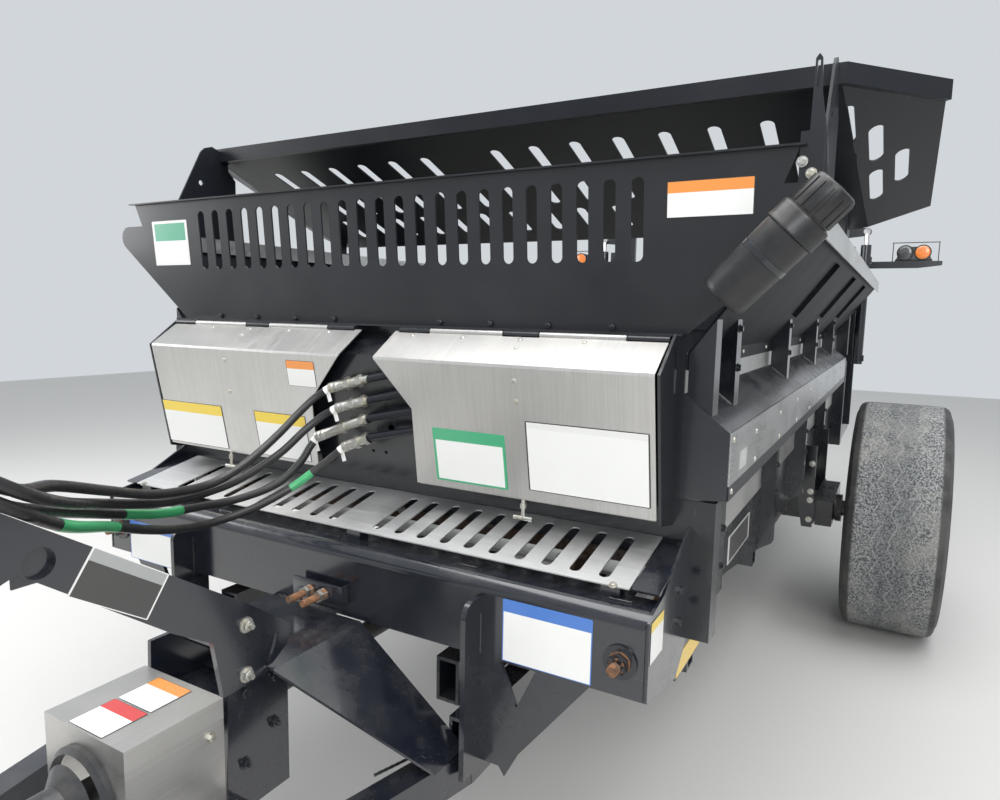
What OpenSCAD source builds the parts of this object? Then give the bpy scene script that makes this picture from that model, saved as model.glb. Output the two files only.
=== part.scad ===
// Towed box spreader with two upright beaters, a chain apron and a lifting rear gate.
// X runs across, Y runs from the hitch to the beaters, Z runs up from the ground.
// Places along Y are measured from the top edge of the front screen.
// part() then moves them, so that the origin lies under the middle of the machine.

/* [Load box] */
// Front wall behind the top edge of the screen
front_y = 30; // [20:1:60]
// Length of the load box
box_len = 3920; // [3600:10:4400]
// Inside width of the load box
box_w = 1584; // [1560:2:1620]
// Thickness of the walls and of the floor
wall_t = 8; // [5:1:10]
// Top of the floor above the ground
floor_z = 950; // [940:1:960]
// Top of the upright walls
wall_top_z = 1460; // [1440:1:1500]
// Height of the flared boards above the walls
flare_h = 276; // [200:1:320]
// Reach of the flared boards beyond the walls
flare_out = 200; // [160:1:240]
// Thickness of folded sheets
sheet_t = 6; // [4:1:8]
// Width of the box that the ledge forms along each side
ledge_w = 100; // [80:1:120]
// Rear end of the ledges
ledge_end_y = 3360; // [3200:10:3500]
// Distance between side posts
post_pitch = 872; // [800:10:900]
// First side post behind the corner post
post_first_y = 250; // [220:1:300]

/* [Front end] */
// Half of the width of the screen's top edge
screen_half = 1000; // [950:1:1020]
// Height of the screen's lower edge
screen_z = 1502; // [1500:1:1520]
// Height of the screen plate
screen_h = 358; // [340:1:380]
// Number of slots in the screen
screen_slots = 23; // [15:1:25]
// Distance between the screen's slots
screen_pitch = 62.5; // [55:0.5:66]
// Front edge of the splash hood
hood_y = 366; // [340:1:400]
// Height of the hood's front edge
hood_z = 2063; // [2040:1:2100]
// Fall of the hood towards the rear, in degrees
hood_fall = 19.6; // [15:0.1:24]
// Half of the width of the hood's straight part
hood_half = 1035; // [1020:1:1060]
// Height of the hinge line of the two covers
hinge_z = 1490; // [1480:1:1500]
// Outer radius of the hinge knuckles
knuckle_r = 7; // [5:0.5:9]
// Radius of the hinge pins
hinge_pin_r = 3; // [2:0.5:4]
// Running clearance of pins and shafts
pin_gap = 0.05; // [0.02:0.01:0.1]
// Thickness of the stainless covers and grates
cover_t = 3; // [2:0.5:4]
// Front face of the cross beam
beam_y = -235; // [-250:1:-225]
// Half of the length of the cross beam
beam_half = 830; // [820:1:845]
// Half of the distance between the leg plates
leg_x = 460; // [440:1:480]

/* [Tongue and drive] */
// Centre of the hitch pin
hitch_y = -1730; // [-1800:5:-1680]
// Radius of the hitch pin hole
hitch_r = 16.5; // [14:0.5:20]
// Thickness of the clevis plates
clevis_t = 22; // [18:1:26]
// Opening between the clevis plates
clevis_gap = 60; // [50:1:70]
// Lower face of the tongue rails
tongue_z = 520; // [500:1:530]
// Height of the tongue rails under the box
tongue_h = 140; // [120:1:140]
// Height of the converging rails in front of the box
front_rail_h = 80; // [70:1:90]
// Height of the drive shaft
drive_z = 680; // [676:1:684]
// Radius of the drive shaft
drive_r = 25; // [20:1:27]

/* [Running gear] */
// Axle behind the screen
axle_y = 2540; // [2400:10:2650]
// Radius of the tyres
tyre_r = 562; // [550:1:575]
// Width of the tyres
tyre_w = 420; // [380:1:440]
// Middle of each tyre from the middle of the machine
wheel_x = 1230; // [1215:1:1260]
// Radius of the rims at the bead
rim_r = 286; // [270:1:300]
// Radius of the wheel spindles
spindle_r = 40; // [35:1:45]
// Side of the square axle tube
axle_side = 130; // [120:1:136]

/* [Apron] */
// Radius of the front roller and the rear sprockets
roller_r = 65; // [60:1:66]
// Pitch of the apron chain
chain_pitch = 101.6; // [90:0.1:110]
// Half of the distance between the two chains
chain_x = 560; // [500:1:620]
// Thickness of the chain
chain_t = 24; // [20:1:26]

/* [Rear end] */
// Half of the distance between the beater shafts
beater_x = 392; // [385:1:396]
// Radius of the flights
flight_r = 330; // [300:1:335]
// Radius of the spinning dishes
dish_r = 370; // [350:1:380]
// Height of the beaters above the dishes
beater_h = 1000; // [900:10:1050]
// Radius of the beater tubes
beater_tube_r = 84; // [70:1:95]
// Travel of the rear gate
gate_lift = 700; // [500:10:700]
// Radius of the lift rods
rod_r = 16; // [12:1:20]
// Outer radius of the lift cylinders
barrel_r = 32; // [28:1:36]

/* [Hidden] */
$fn = 48;

// Finishes
black = "#1d2126";
charcoal = "#33373b";
stainless = "#c3c6c8";
zinc = "#b9bdb8";
rubber = "#232323";
amber = "#f0801c";

// Overall places
box_rear_y = front_y + box_len;
half_w = box_w / 2;
side_x = half_w + wall_t;
rear_end_y = box_rear_y + 990;
nose_r = 50;
nose_y = hitch_y - nose_r;
mid_y = (nose_y + rear_end_y) / 2;
rail_top_z = tongue_z + tongue_h + 104;
rail_low_z = tongue_z + tongue_h;
gap = 0.3;

// Slope of the flared boards and of the ledge's top
flare_foot_z = wall_top_z + 1;
flare_slope = flare_h / flare_out;
flare_top_z = flare_foot_z + flare_h;
ledge_in_z = 1376;
ledge_out_z = 1300;
ledge_low_z = 1155;
flange_x = side_x + sheet_t;
function flare_under(x) =
  flare_foot_z + (x - side_x) * flare_slope - sheet_t * sqrt(1 + flare_slope * flare_slope);
function ledge_over(x) = ledge_in_z - (x - side_x) * (ledge_in_z - ledge_out_z) / ledge_w;

// Folded sheet: an outline that follows a path and lies t to its left
function unit(v) = v / norm(v);
function left_of(v) = [-v[1], v[0]];
function run(p, i) = unit(p[i + 1] - p[i]);
function mitre(p, i) =
  let (n = len(p), a = left_of(run(p, max(i - 1, 0))), b = left_of(run(p, min(i, n - 2))), m = unit(a + b))
  m / (m * a);
function folded(p, t) = concat(p, [for (i = [len(p) - 1 : -1 : 0]) p[i] + t * mitre(p, i)]);

module part(c) color(c) translate([0, -mid_y, 0]) children();
module both_sides() {
  children();
  mirror([1, 0, 0]) children();
}
// Drawing plane (Y, Z), thickness along X from x0
module along_x(x0, w) translate([x0, 0, 0]) rotate([90, 0, 90]) linear_extrude(w) children();
// Drawing plane (X, Z), thickness along Y from y0
module along_y(y0, w) translate([0, y0 + w, 0]) rotate([90, 0, 0]) linear_extrude(w) children();
module block(low, high) translate(low) cube(high - low);
module slot(w, len) {
  translate([-w / 2, w / 2]) square([w, len - w]);
  translate([0, w / 2]) circle(w / 2);
  translate([0, len - w / 2]) circle(w / 2);
}
module rod(a, b, r) {
  d = b - a;
  translate(a) rotate([0, acos(d[2] / norm(d)), atan2(d[1], d[0])]) cylinder(h = norm(d), r = r);
}
// Strip between two points in plan, half wide to each side and longer by past at each end
function strip(a, b, half, past) =
  let (u = unit([b[0] - a[0], b[1] - a[1]]), v = half * left_of(u), p = [a[0], a[1]] - past * u, q = [b[0], b[1]] + past * u)
  [p - v, q - v, q + v, p + v];
// Rectangular tube between two points at one level, w wide and h high, on its lower face
module level_tube(a, b, w, h, t) translate([0, 0, a[2]]) difference() {
  linear_extrude(h) polygon(strip(a, b, w / 2, 0));
  translate([0, 0, t]) linear_extrude(h - 2 * t) polygon(strip(a, b, w / 2 - t, 1));
}

// Under the floor
frame_x = 330;
frame_w = 60;
frame_t = 8;
post_count = floor((box_rear_y - 300 - post_first_y) / post_pitch) + 1;
function post_y(i) = post_first_y + i * post_pitch;
post_w = 50;
hanger_r = 45;
hanger_ys = [420, 1600, 3300];
module main_frame() part(black) {
  difference() {
    union() {
      both_sides() {
        level_tube([frame_x + frame_w / 2, -200, rail_low_z], [frame_x + frame_w / 2, rear_end_y - 60, rail_low_z],
                   frame_w, rail_top_z - rail_low_z, frame_t);
        for (i = [0 : post_count - 1])
          level_tube([frame_x + frame_w, post_y(i), rail_low_z], [half_w, post_y(i), rail_low_z],
                     frame_w, rail_top_z - rail_low_z, frame_t);
      }
      for (y = hanger_ys)
        block([-frame_x, y - 30, drive_z + drive_r + 8], [frame_x, y + 30, rail_top_z]);
      for (y = hanger_ys) translate([0, y - 25, drive_z]) rotate([-90, 0, 0]) cylinder(h = 50, r = hanger_r);
    }
    translate([0, -300, drive_z]) rotate([-90, 0, 0]) cylinder(h = 5000, r = drive_r + pin_gap);
  }
}

module box_floor() part(charcoal) difference() {
  union() {
    block([-half_w, front_y + wall_t, floor_z - wall_t], [half_w, sprocket_y, floor_z]);
    both_sides() for (x = [chain_x - 48, chain_x + 38])
      block([x, front_y + wall_t, floor_z], [x + 10, sprocket_y - 60, floor_z + 14]);
  }
  // Room for the front rollers and the rear sprockets
  for (x = [-chain_x, chain_x]) for (y = [roller_y, sprocket_y])
    translate([x - 38, y, roller_z]) rotate([0, 90, 0]) cylinder(h = 76, r = roller_r + 2);
}

module wall_left() wall_at(-1);
module wall_right() wall_at(1);
module wall_at(s) part(stainless) {
  x0 = s > 0 ? half_w : -side_x;
  block([x0, front_y + wall_t, floor_z - wall_t], [x0 + wall_t, box_rear_y, wall_top_z]);
}

// Flared board with a flange on the wall, an upright lip and raised ribs
rib_w = 70;
rib_t = 14;
flange_low_z = wall_top_z - 35;
lip_h = 38;
module flare_half() {
  along_y(front_y + 12, flare_end_y - front_y - 12)
    polygon(folded([[side_x, flange_low_z], [side_x, flare_foot_z], [side_x + flare_out, flare_top_z],
                    [side_x + flare_out, flare_top_z + lip_h]], -sheet_t));
  rib_start = (post_out_x - side_x) * norm([1, flare_slope]) + 6;
  rib_len = norm([flare_out, flare_h]) - rib_start - 24;
  for (i = [1 : post_count - 1])
    translate([side_x + sheet_t, 0, flare_under(side_x + sheet_t)])
      rotate([0, -atan(flare_slope), 0])
        translate([rib_start, post_y(i) - rib_w / 2, -rib_t]) difference() {
          cube([rib_len, rib_w, rib_t]);
          translate([-1, 5, 5]) cube([rib_len + 2, rib_w - 10, rib_t]);
        }
}
module flare_left() part(black) mirror([1, 0, 0]) flare_half();
module flare_right() part(black) flare_half();

// Galvanised channel over the upright lip, with a hook at its rear end
cap_t = 4;
cap_x = side_x + flare_out - 14;
cap_w = 40;
cap_z = flare_top_z + lip_h + gap;
module flare_caps() part(zinc) both_sides() {
  along_y(front_y + 20, flare_end_y - front_y - 37)
    polygon(folded([[cap_x, cap_z - 46], [cap_x, cap_z], [cap_x + cap_w, cap_z], [cap_x + cap_w, cap_z - 60]],
                   cap_t));
}

// Skirts below the floor, posts above and below the ledge
skirt_path = [[front_y + wall_t, floor_z - wall_t], [front_y + wall_t, 850], [600, 800], [1200, 700],
              [3000, 700], [3600, 760], [box_rear_y, 760], [box_rear_y, floor_z - wall_t]];
post_out_x = side_x + 60;
module upper_post(y) {
  x0 = flange_x;
  x1 = post_out_x;
  along_y(y, sheet_t) polygon([[x0, ledge_over(x0)], [x1, ledge_over(x1)], [x1, flare_under(x1)], [x0, flare_under(x0)]]);
  along_y(y, post_w)
    polygon([[x1 - sheet_t, ledge_over(x1 - sheet_t)], [x1, ledge_over(x1)],
             [x1, flare_under(x1)], [x1 - sheet_t, flare_under(x1 - sheet_t)]]);
}
function skirt_low(y) = lookup(y, [[0, 850], [600, 800], [1200, 700], [3000, 700], [3600, 760], [5000, 760]]);
module lower_post(y) {
  x1 = side_x + 48;
  z0 = skirt_low(y) + 4;
  z1 = y < ledge_end_y ? ledge_low_z - 8 : ledge_in_z;
  along_y(y, sheet_t) polygon([[side_x, z0], [x1, z0 + 30], [x1, z1], [side_x, z1]]);
  block([x1 - sheet_t, y, z0 + 30], [x1, y + post_w, z1]);
}
module side_frames() part(black) both_sides() {
  along_x(half_w, wall_t) polygon(skirt_path);
  upper_post(front_y + 6);
  for (i = [0 : post_count - 1]) {
    upper_post(post_y(i));
    lower_post(post_y(i));
  }
}

// Ledge: a folded box along each side with closed ends
module ledge_half() {
  path = [[side_x, ledge_in_z], [side_x + ledge_w, ledge_out_z], [side_x + ledge_w, ledge_low_z],
          [side_x, ledge_low_z - 8]];
  along_y(front_y, ledge_end_y - front_y) intersection() {
    polygon(folded(path, -5));
    translate([side_x, 0]) square([ledge_w, ledge_in_z]);
  }
  for (y = [front_y, ledge_end_y - 5]) along_y(y, 5) polygon(path);
}
module ledge_left() part(charcoal) mirror([1, 0, 0]) ledge_half();
module ledge_right() part(charcoal) ledge_half();
module ledge_strips() part(stainless) both_sides()
  block([side_x + ledge_w, front_y + 4, ledge_low_z], [side_x + ledge_w + cover_t, ledge_end_y, ledge_out_z + 1]);

// Front wall with its corner posts, cover housing, hinge lugs and hose plate
wall_low_z = floor_z + 62;
cheek_x = 784;
hinge_y = -20;
lug_len = 90;
lug_xs = [-735, -420, -105, 135, 435, 735];
cover_front_y = -113;
cover_fold_z = 1424;
cover_low_y = -55;
cover_low_z = 1117;
plate_back = 50;
corner_low_z = 838;
corner_w = 80;
module corner_post() {
  along_y(front_y, sheet_t) translate([side_x, corner_low_z]) square([corner_w, ledge_low_z - 8 - corner_low_z]);
  block([side_x + corner_w - sheet_t, front_y, corner_low_z], [side_x + corner_w, front_y + 60, ledge_low_z - 8]);
}
module front_wall() part(black) {
  difference() {
    block([-side_x, front_y, wall_low_z], [side_x, front_y + wall_t, screen_z]);
    block([-80, front_y - 1, 1150], [-20, front_y + wall_t + 1, 1180]);
  }
  both_sides() {
    corner_post();
    along_x(cheek_x, sheet_t) polygon([[front_y, screen_z], [hinge_y + 10, screen_z], [cover_front_y, cover_fold_z],
                                       [cover_low_y, cover_low_z - 12], [front_y, cover_low_z - 30]]);
  }
  block([-side_x, hinge_y + 10, hinge_z + 8], [side_x, front_y, screen_z]);
  for (x = lug_xs) {
    difference() {
      translate([x - lug_len / 2, hinge_y, hinge_z]) rotate([0, 90, 0]) cylinder(h = lug_len, r = knuckle_r);
      translate([x - lug_len, hinge_y, hinge_z]) rotate([0, 90, 0]) cylinder(h = 2 * lug_len, r = hinge_pin_r);
    }
    block([x - lug_len / 2, hinge_y + 4, hinge_z - 4], [x + lug_len / 2, front_y, hinge_z + 9]);
  }
  for (span = [[-779, -60], [90, 779]])
    translate([span[0], hinge_y, hinge_z]) rotate([0, 90, 0]) cylinder(h = span[1] - span[0], r = hinge_pin_r);
  hose_plate();
  // Brackets under the grate's rear edge
  for (x = grate_bearers) along_x(x - 20, 40)
    polygon([[front_y - 40, grate_under(front_y) - 22], [front_y, wall_low_z - 20], [front_y, grate_under(front_y)],
             [front_y - 40, grate_under(front_y - 40)]]);
}
hose_plate_path = [[front_y, hinge_z - 22], [cover_front_y + plate_back, cover_fold_z],
                   [cover_low_y + plate_back, cover_low_z], [front_y, cover_low_z]];
plate_slope = (cover_low_y - cover_front_y) / (cover_fold_z - cover_low_z);
function plate_y(z) = cover_front_y + plate_back + (cover_fold_z - z) * plate_slope;
// Columns: left end of a union (x, z), its right end (x, z), height of its bulkhead
fittings = [[-75, 1338, 28, 1365, 1408], [-52, 1288, 38, 1314, 1358], [-122, 1206, 42, 1269, 1308],
            [-30, 1189, 44, 1220, 1258]];
bulkhead_x = 215;
bulkhead_r = 15;
union_y = -100;
module hose_plate() difference() {
  along_x(-190, 480) polygon(folded(hose_plate_path, -5));
  for (f = fittings) translate([bulkhead_x, -120, f[4]]) rotate([-90, 0, 0]) cylinder(h = 145, r = bulkhead_r + gap);
  translate([70, -110, 1232]) rotate([-90, 0, 0]) linear_extrude(135) translate([0, -16]) slot(22, 32);
  for (x = [0, 42]) translate([x, -110, 1170]) rotate([-90, 0, 0]) cylinder(h = 135, r = 4.5);
}

module hose_fittings() part(zinc) for (f = fittings) {
  a = [f[0], union_y, f[1]];
  b = [f[2], union_y + 10, f[3]];
  c = [bulkhead_x, plate_y(f[4]) - 22, f[4]];
  rod(a, b, 13);
  rod(b, c, 10);
  translate([bulkhead_x, c[1] - 12, f[4]]) rotate([-90, 0, 0]) cylinder(h = 60, r = bulkhead_r);
}

// Slotted screen that leans forward over the covers
screen_lean = 4.76;
slot_w = 28;
slot_h = 174;
slot_foot = 151;
corner_r = 37;
module screen_outline() {
  top = screen_h;
  polygon([[-screen_half, top], [screen_half, top], [screen_half - 25, top - 66], [screen_half + 50, top - 66],
           [screen_half + 73.7, top - 131], [side_x, 0], [-side_x, 0], [-screen_half - 73.7, top - 131],
           [-screen_half - 50, top - 66], [25 - screen_half, top - 66]]);
  for (s = [-1, 1]) translate([s * (screen_half + 50), top - 66 - corner_r]) circle(corner_r);
}
module on_screen() translate([0, front_y, screen_z]) rotate([screen_lean, 0, 0]) children();
module front_screen() part(charcoal) on_screen() {
  rotate([90, 0, 0]) translate([0, 0, -5]) linear_extrude(5) difference() {
    screen_outline();
    for (i = [0 : screen_slots - 1])
      translate([(i - (screen_slots - 1) / 2) * screen_pitch, slot_foot]) slot(slot_w, slot_h);
  }
  translate([-screen_half - 12, -14, screen_h]) cube([2 * screen_half + 24, 19, 4]);
  for (s = [-1, 1]) translate([s * (side_x - 60) - 30, 5, 0]) cube([60, 30, 5]);
}

// Splash hood: a roof that falls to the rear, with a wing at each end and a band along its front
hood_t = 4;
hood_len = 740;
wing_turn = 48.6;
wing_fall = 30;
wing_lip = 311;
hood_slot_w = 35;
hood_slot_len = 154;
hood_pitch = 131.7;
hood_rows = [[107, 0], [300, 0.5], [493, 0]];
band_h = 46;
band_w = 30;
ear_x = hood_half - 16;
foot_t = 5;
// Foot plate between an ear or bracket and the flare's cap
module hood_foot(y0, y1)
  block([min(ear_x, cap_x), y0, cap_z + cap_t], [max(ear_x + sheet_t, cap_x + cap_w), y1, cap_z + cap_t + foot_t]);
module hood_main() difference() {
  polygon([[-hood_half, 0], [hood_half, 0], [hood_half + 40, 719], [hood_half - 20, hood_len],
           [20 - hood_half, hood_len], [-hood_half - 40, 719]]);
  for (row = hood_rows) for (i = [0 : 13]) {
    x = (i - 6.5 + row[1]) * hood_pitch;
    if (abs(x) < hood_half - 60 && !(i == 6 && row[0] == 107)) translate([x, row[0]]) slot(hood_slot_w, hood_slot_len);
  }
}
// Columns: place along the wing's lip, place down its slope
wing_slots = [[61, 59], [199, 200], [342, 345], [194, 102], [336, 247], [346, 165]];
module hood_wing() difference() {
  polygon([[-4, 0], [wing_lip, 0], [664, 365], [534, 482]]);
  for (p = wing_slots) translate(p) rotate(-45) slot(hood_slot_w, hood_slot_len);
}
module splash_hood() part(black) {
  translate([0, hood_y, hood_z]) rotate([-hood_fall, 0, 0]) linear_extrude(hood_t) hood_main();
  // Band along the front edge and round both wings
  wing_tip = [hood_half + wing_lip * cos(wing_turn), hood_y + wing_lip * sin(wing_turn)];
  rim = [[-wing_tip[0], wing_tip[1]], [-hood_half, hood_y], [hood_half, hood_y], wing_tip];
  translate([0, 0, hood_z - 2]) linear_extrude(band_h)
    polygon(folded([for (i = [0 : 3]) rim[i] - band_w / 2 * mitre(rim, i)], band_w));
  both_sides() {
    translate([hood_half, hood_y, hood_z]) rotate([0, 0, wing_turn]) rotate([-wing_fall, 0, 0])
      linear_extrude(hood_t) hood_wing();
    // Ear that stands on the flare's cap and carries the hood's front corner
    along_x(ear_x, sheet_t) difference() {
      polygon([[hood_y + 20, hood_z], [hood_y - 16, hood_z + 36], [hood_y - 46, hood_z + 46], [hood_y - 76, hood_z + 36],
               [hood_y - 93, hood_z + 20], [182, 1911], [150, 1850], [150, cap_z + cap_t], [420, cap_z + cap_t],
               [420, hood_z - 60], [hood_y + 24, hood_z - 30]]);
      translate([269, 1975]) circle(9);
    }
    hood_foot(150, 420);
    // Bracket under the hood's rear corner
    hood_foot(940, 1030);
    along_x(ear_x, sheet_t)
      polygon([[940, cap_z + cap_t], [1030, cap_z + cap_t], [1030, hood_z - (1030 - hood_y) * tan(hood_fall) + 1],
               [940, hood_z - (940 - hood_y) * tan(hood_fall) + 1]]);
  }
}

// Stainless covers, hinged along their top edge
cover_path = [[hinge_y - 2, hinge_z - knuckle_r + 2], [cover_front_y + 4, cover_fold_z + 1], [cover_front_y + cover_t, cover_fold_z - 4],
              [cover_low_y + cover_t, cover_low_z], [cover_low_y + 25, cover_low_z - 8]];
knuckle_gap = 6;
// Columns: middle and length of each knuckle
left_knuckles = [[-577.5, 315 - lug_len - knuckle_gap], [-262.5, 315 - lug_len - knuckle_gap]];
right_knuckles = [[285, 300 - lug_len - knuckle_gap], [585, 300 - lug_len - knuckle_gap]];
module cover_shell(outline, knuckles) difference() {
  union() {
    intersection() {
      along_x(-800, 1600) polygon(folded(cover_path, -cover_t));
      along_y(-200, 250) polygon(outline);
    }
    for (k = knuckles) translate([k[0] - k[1] / 2, hinge_y, hinge_z]) rotate([0, 90, 0]) cylinder(h = k[1], r = knuckle_r);
  }
  translate([-800, hinge_y, hinge_z]) rotate([0, 90, 0]) cylinder(h = 1600, r = hinge_pin_r + pin_gap);
  for (x = lug_xs) translate([x - lug_len / 2 - knuckle_gap / 2, hinge_y, hinge_z]) rotate([0, 90, 0])
    cylinder(h = lug_len + knuckle_gap, r = knuckle_r + 3);
}
cover_end_x = cheek_x - 5;
module cover_left() part(stainless)
  cover_shell([[-34, 1500], [-36, cover_fold_z], [-150, 1304], [-168, 1050], [-cover_end_x, 1050], [-cover_end_x, 1500]],
              left_knuckles);
module cover_right() part(stainless)
  cover_shell([[76, 1500], [74, cover_fold_z], [176, 1304], [166, 1050], [cover_end_x, 1050], [cover_end_x, 1500]],
              right_knuckles);

// Step grate that falls gently towards the beam
grate_slope = 0.22;
grate_front_y = -185;
grate_front_z = 1008;
grate_half = 770;
grate_pitch = 65;
grate_bearers = [-grate_half + 40, 70, grate_half - 40];
function grate_under(y) = grate_front_z + (y - grate_front_y) * grate_slope;
module step_grate() part(stainless)
  translate([0, grate_front_y, grate_front_z]) rotate([atan(grate_slope), 0, 0]) linear_extrude(cover_t) difference() {
    translate([-grate_half, 0]) square([2 * grate_half, (front_y - grate_front_y - 1) / cos(atan(grate_slope))]);
    for (i = [0 : 9]) {
      translate([-20 - i * grate_pitch, 22]) slot(24, 172);
      translate([122 + i * grate_pitch, 22]) slot(24, 172);
    }
  }

// Cross beam at the front with its end plates and the bearers of the grate
beam_low_z = 815;
beam_top_z = 985;
beam_round = 30;
shelf_y = -150;
tension_x = 775;
tension_z = floor_z - roller_r;
module beam_profile() difference() {
  union() {
    translate([beam_y, beam_low_z]) square([sheet_t, beam_top_z - beam_round - beam_low_z]);
    translate([beam_y + beam_round, beam_top_z - sheet_t]) square([shelf_y - beam_y - beam_round, sheet_t]);
    translate([beam_y, beam_low_z]) square([45, sheet_t]);
    intersection() {
      translate([beam_y + beam_round, beam_top_z - beam_round]) circle(beam_round);
      translate([beam_y, beam_top_z - beam_round]) square(beam_round);
    }
  }
  translate([beam_y + beam_round, beam_top_z - beam_round]) circle(beam_round - sheet_t);
}
module front_beam() part(black) difference() {
  union() {
    along_x(-beam_half, 2 * beam_half) beam_profile();
    both_sides() {
      along_x(beam_half - sheet_t, sheet_t)
        polygon([[beam_y, beam_low_z], [beam_y, beam_top_z - 12], [beam_y + 12, beam_top_z], [shelf_y, beam_top_z + 14],
                 [front_y - 2, 1090], [front_y, 1090], [front_y, 826], [-36, 775]]);
      // Shelf beside the grate
      translate([grate_half + 2, grate_front_y, grate_front_z]) rotate([atan(grate_slope), 0, 0])
        translate([0, 6, -5]) cube([beam_half - grate_half - 4, 190, 5]);
      // Leg plate on the beam, with its rounded top, and the knee plate behind it
      along_x(leg_x - 6, 12) difference() {
        union() {
          translate([beam_y - 62, tongue_z + 40]) square([62 + sheet_t, beam_top_z - 70 - tongue_z - 40]);
          translate([beam_y, tongue_z + 40]) square([45, beam_low_z - tongue_z - 40]);
          translate([beam_y - 31, beam_top_z - 70]) circle(31);
          translate([beam_y - 31, beam_top_z - 101]) square([31, 62]);
        }
      }
      along_y(beam_y, 10)
        polygon([[leg_x, beam_low_z], [leg_x + 54, beam_low_z], [leg_x + 94, 723], [leg_x + 137, beam_low_z],
                 [leg_x + 254, beam_low_z], [leg_x + 101, 621], [leg_x + 69, 560], [leg_x + 55, tongue_z + 60],
                 [leg_x, tongue_z + 60]]);
    }
    // Brackets on the beam under the grate's front edge
    for (x = grate_bearers) along_x(x - 20, 40)
      polygon([[grate_front_y + 3, beam_top_z - 1], [shelf_y, beam_top_z - 1], [shelf_y, grate_under(shelf_y)],
               [grate_front_y + 3, grate_under(grate_front_y + 3)]]);
  }
  for (s = [-1, 1]) translate([s * tension_x, beam_y - 20, tension_z]) rotate([-90, 0, 0]) cylinder(h = 60, r = 11);
}

// Threaded rods that pull the front roller forward, each with a washer and a nut
module tensioner(x, z, y0, y1, r) translate([x, 0, z]) rotate([-90, 0, 0]) {
  translate([0, 0, y0]) cylinder(h = y1 - y0, r = r);
}
module tension_rods() part("#8a5a35") {
  for (s = [-1, 1]) {
    // Eye round the front roller's shaft
    translate([s * tension_x - 13, roller_y, tension_z]) rotate([0, 90, 0]) difference() {
      cylinder(h = 26, r = 38);
      translate([0, 0, -1]) cylinder(h = 28, r = apron_shaft_r + pin_gap);
    }
    tensioner(s * tension_x, tension_z, beam_y - 48, roller_y - 28, 10);
    tensioner(s * tension_x, tension_z, beam_y - 6, beam_y, 22);
    tensioner(s * tension_x, tension_z, beam_y - 24, beam_y - 6, 16);
  }
  for (x = [2, 46]) {
    tensioner(x, 868, beam_y - 95, beam_y, 8);
    tensioner(x, 868, beam_y - 36, beam_y - 24, 14);
  }
  block([-53, beam_y - 24, 850], [102, beam_y - 18, 892]);
  block([96, beam_y - 18, 850], [102, beam_y, 892]);
}

// Tongue: rails that converge to the hitch clevis and run back under the frame
rail_rear_x = 424;
rail_front_x = 100;
rail_end_y = 1500;
rail_w = 60;
rail_front_y = hitch_y + 170;
clevis_mid_z = tongue_z + front_rail_h / 2;
tower_x = 118;
rail_lean = (rail_rear_x - rail_front_x) / (beam_y - rail_front_y);
function rail_x(y) = rail_rear_x - (beam_y - y) * rail_lean;
module tongue() part(black) difference() {
  union() {
    both_sides() {
      level_tube([rail_rear_x, beam_y, tongue_z], [rail_front_x, rail_front_y, tongue_z], rail_w, front_rail_h, 8);
      level_tube([rail_rear_x, beam_y - 8, tongue_z], [rail_rear_x, rail_end_y, tongue_z], rail_w, tongue_h, 8);
      // Tower plates that carry the input bearing, the cover and the hose arm
      along_x(tower_x - 6, 10)
        polygon([[-610, tongue_z + 20], [-450, tongue_z + 20], [-450, shield_z - shield_t], [-514, shield_z - shield_t],
                 [-514, 850], [-600, 850]]);
    }
    // Cross plates between the rails
    block([-rail_x(-595) + 20, -600, tongue_z + 10], [rail_x(-595) - 20, -590, tongue_z + 70]);
    block([-tower_x, -600, tongue_z + 60], [tower_x, -590, tongue_z + 110]);
    block([-rail_front_x - 50, rail_front_y - 15, tongue_z - 16], [rail_front_x + 50, rail_front_y + 60, tongue_z + front_rail_h + 16]);
    block([-rail_rear_x, rail_end_y - 120, tongue_z + 20], [rail_rear_x, rail_end_y - 60, tongue_z + tongue_h - 40]);
    // Input bearing block between the tower plates
    block([-tower_x + 4, -590, drive_z - 60], [tower_x - 4, -470, drive_z + 60]);
    // Clevis plates
    for (z = [clevis_mid_z - clevis_gap / 2 - clevis_t, clevis_mid_z + clevis_gap / 2]) translate([0, 0, z])
      linear_extrude(clevis_t) {
        translate([0, hitch_y]) circle(nose_r);
        translate([-nose_r, hitch_y]) square([2 * nose_r, rail_front_y - hitch_y]);
      }
    // Rest for the shaft guard
    block([-50, -1300, tongue_z + 30], [50, -1280, drive_z - 8]);
    block([-rail_x(-1290), -1310, tongue_z + 20], [rail_x(-1290), -1270, tongue_z + 40]);
  }
  translate([0, -1301, drive_z]) rotate([-90, 0, 0]) cylinder(h = 22, r = guard_r);
  translate([0, hitch_y, 0]) cylinder(h = 1200, r = hitch_r);
  translate([0, -700, drive_z]) rotate([-90, 0, 0]) cylinder(h = 300, r = drive_r + pin_gap);
}

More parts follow.
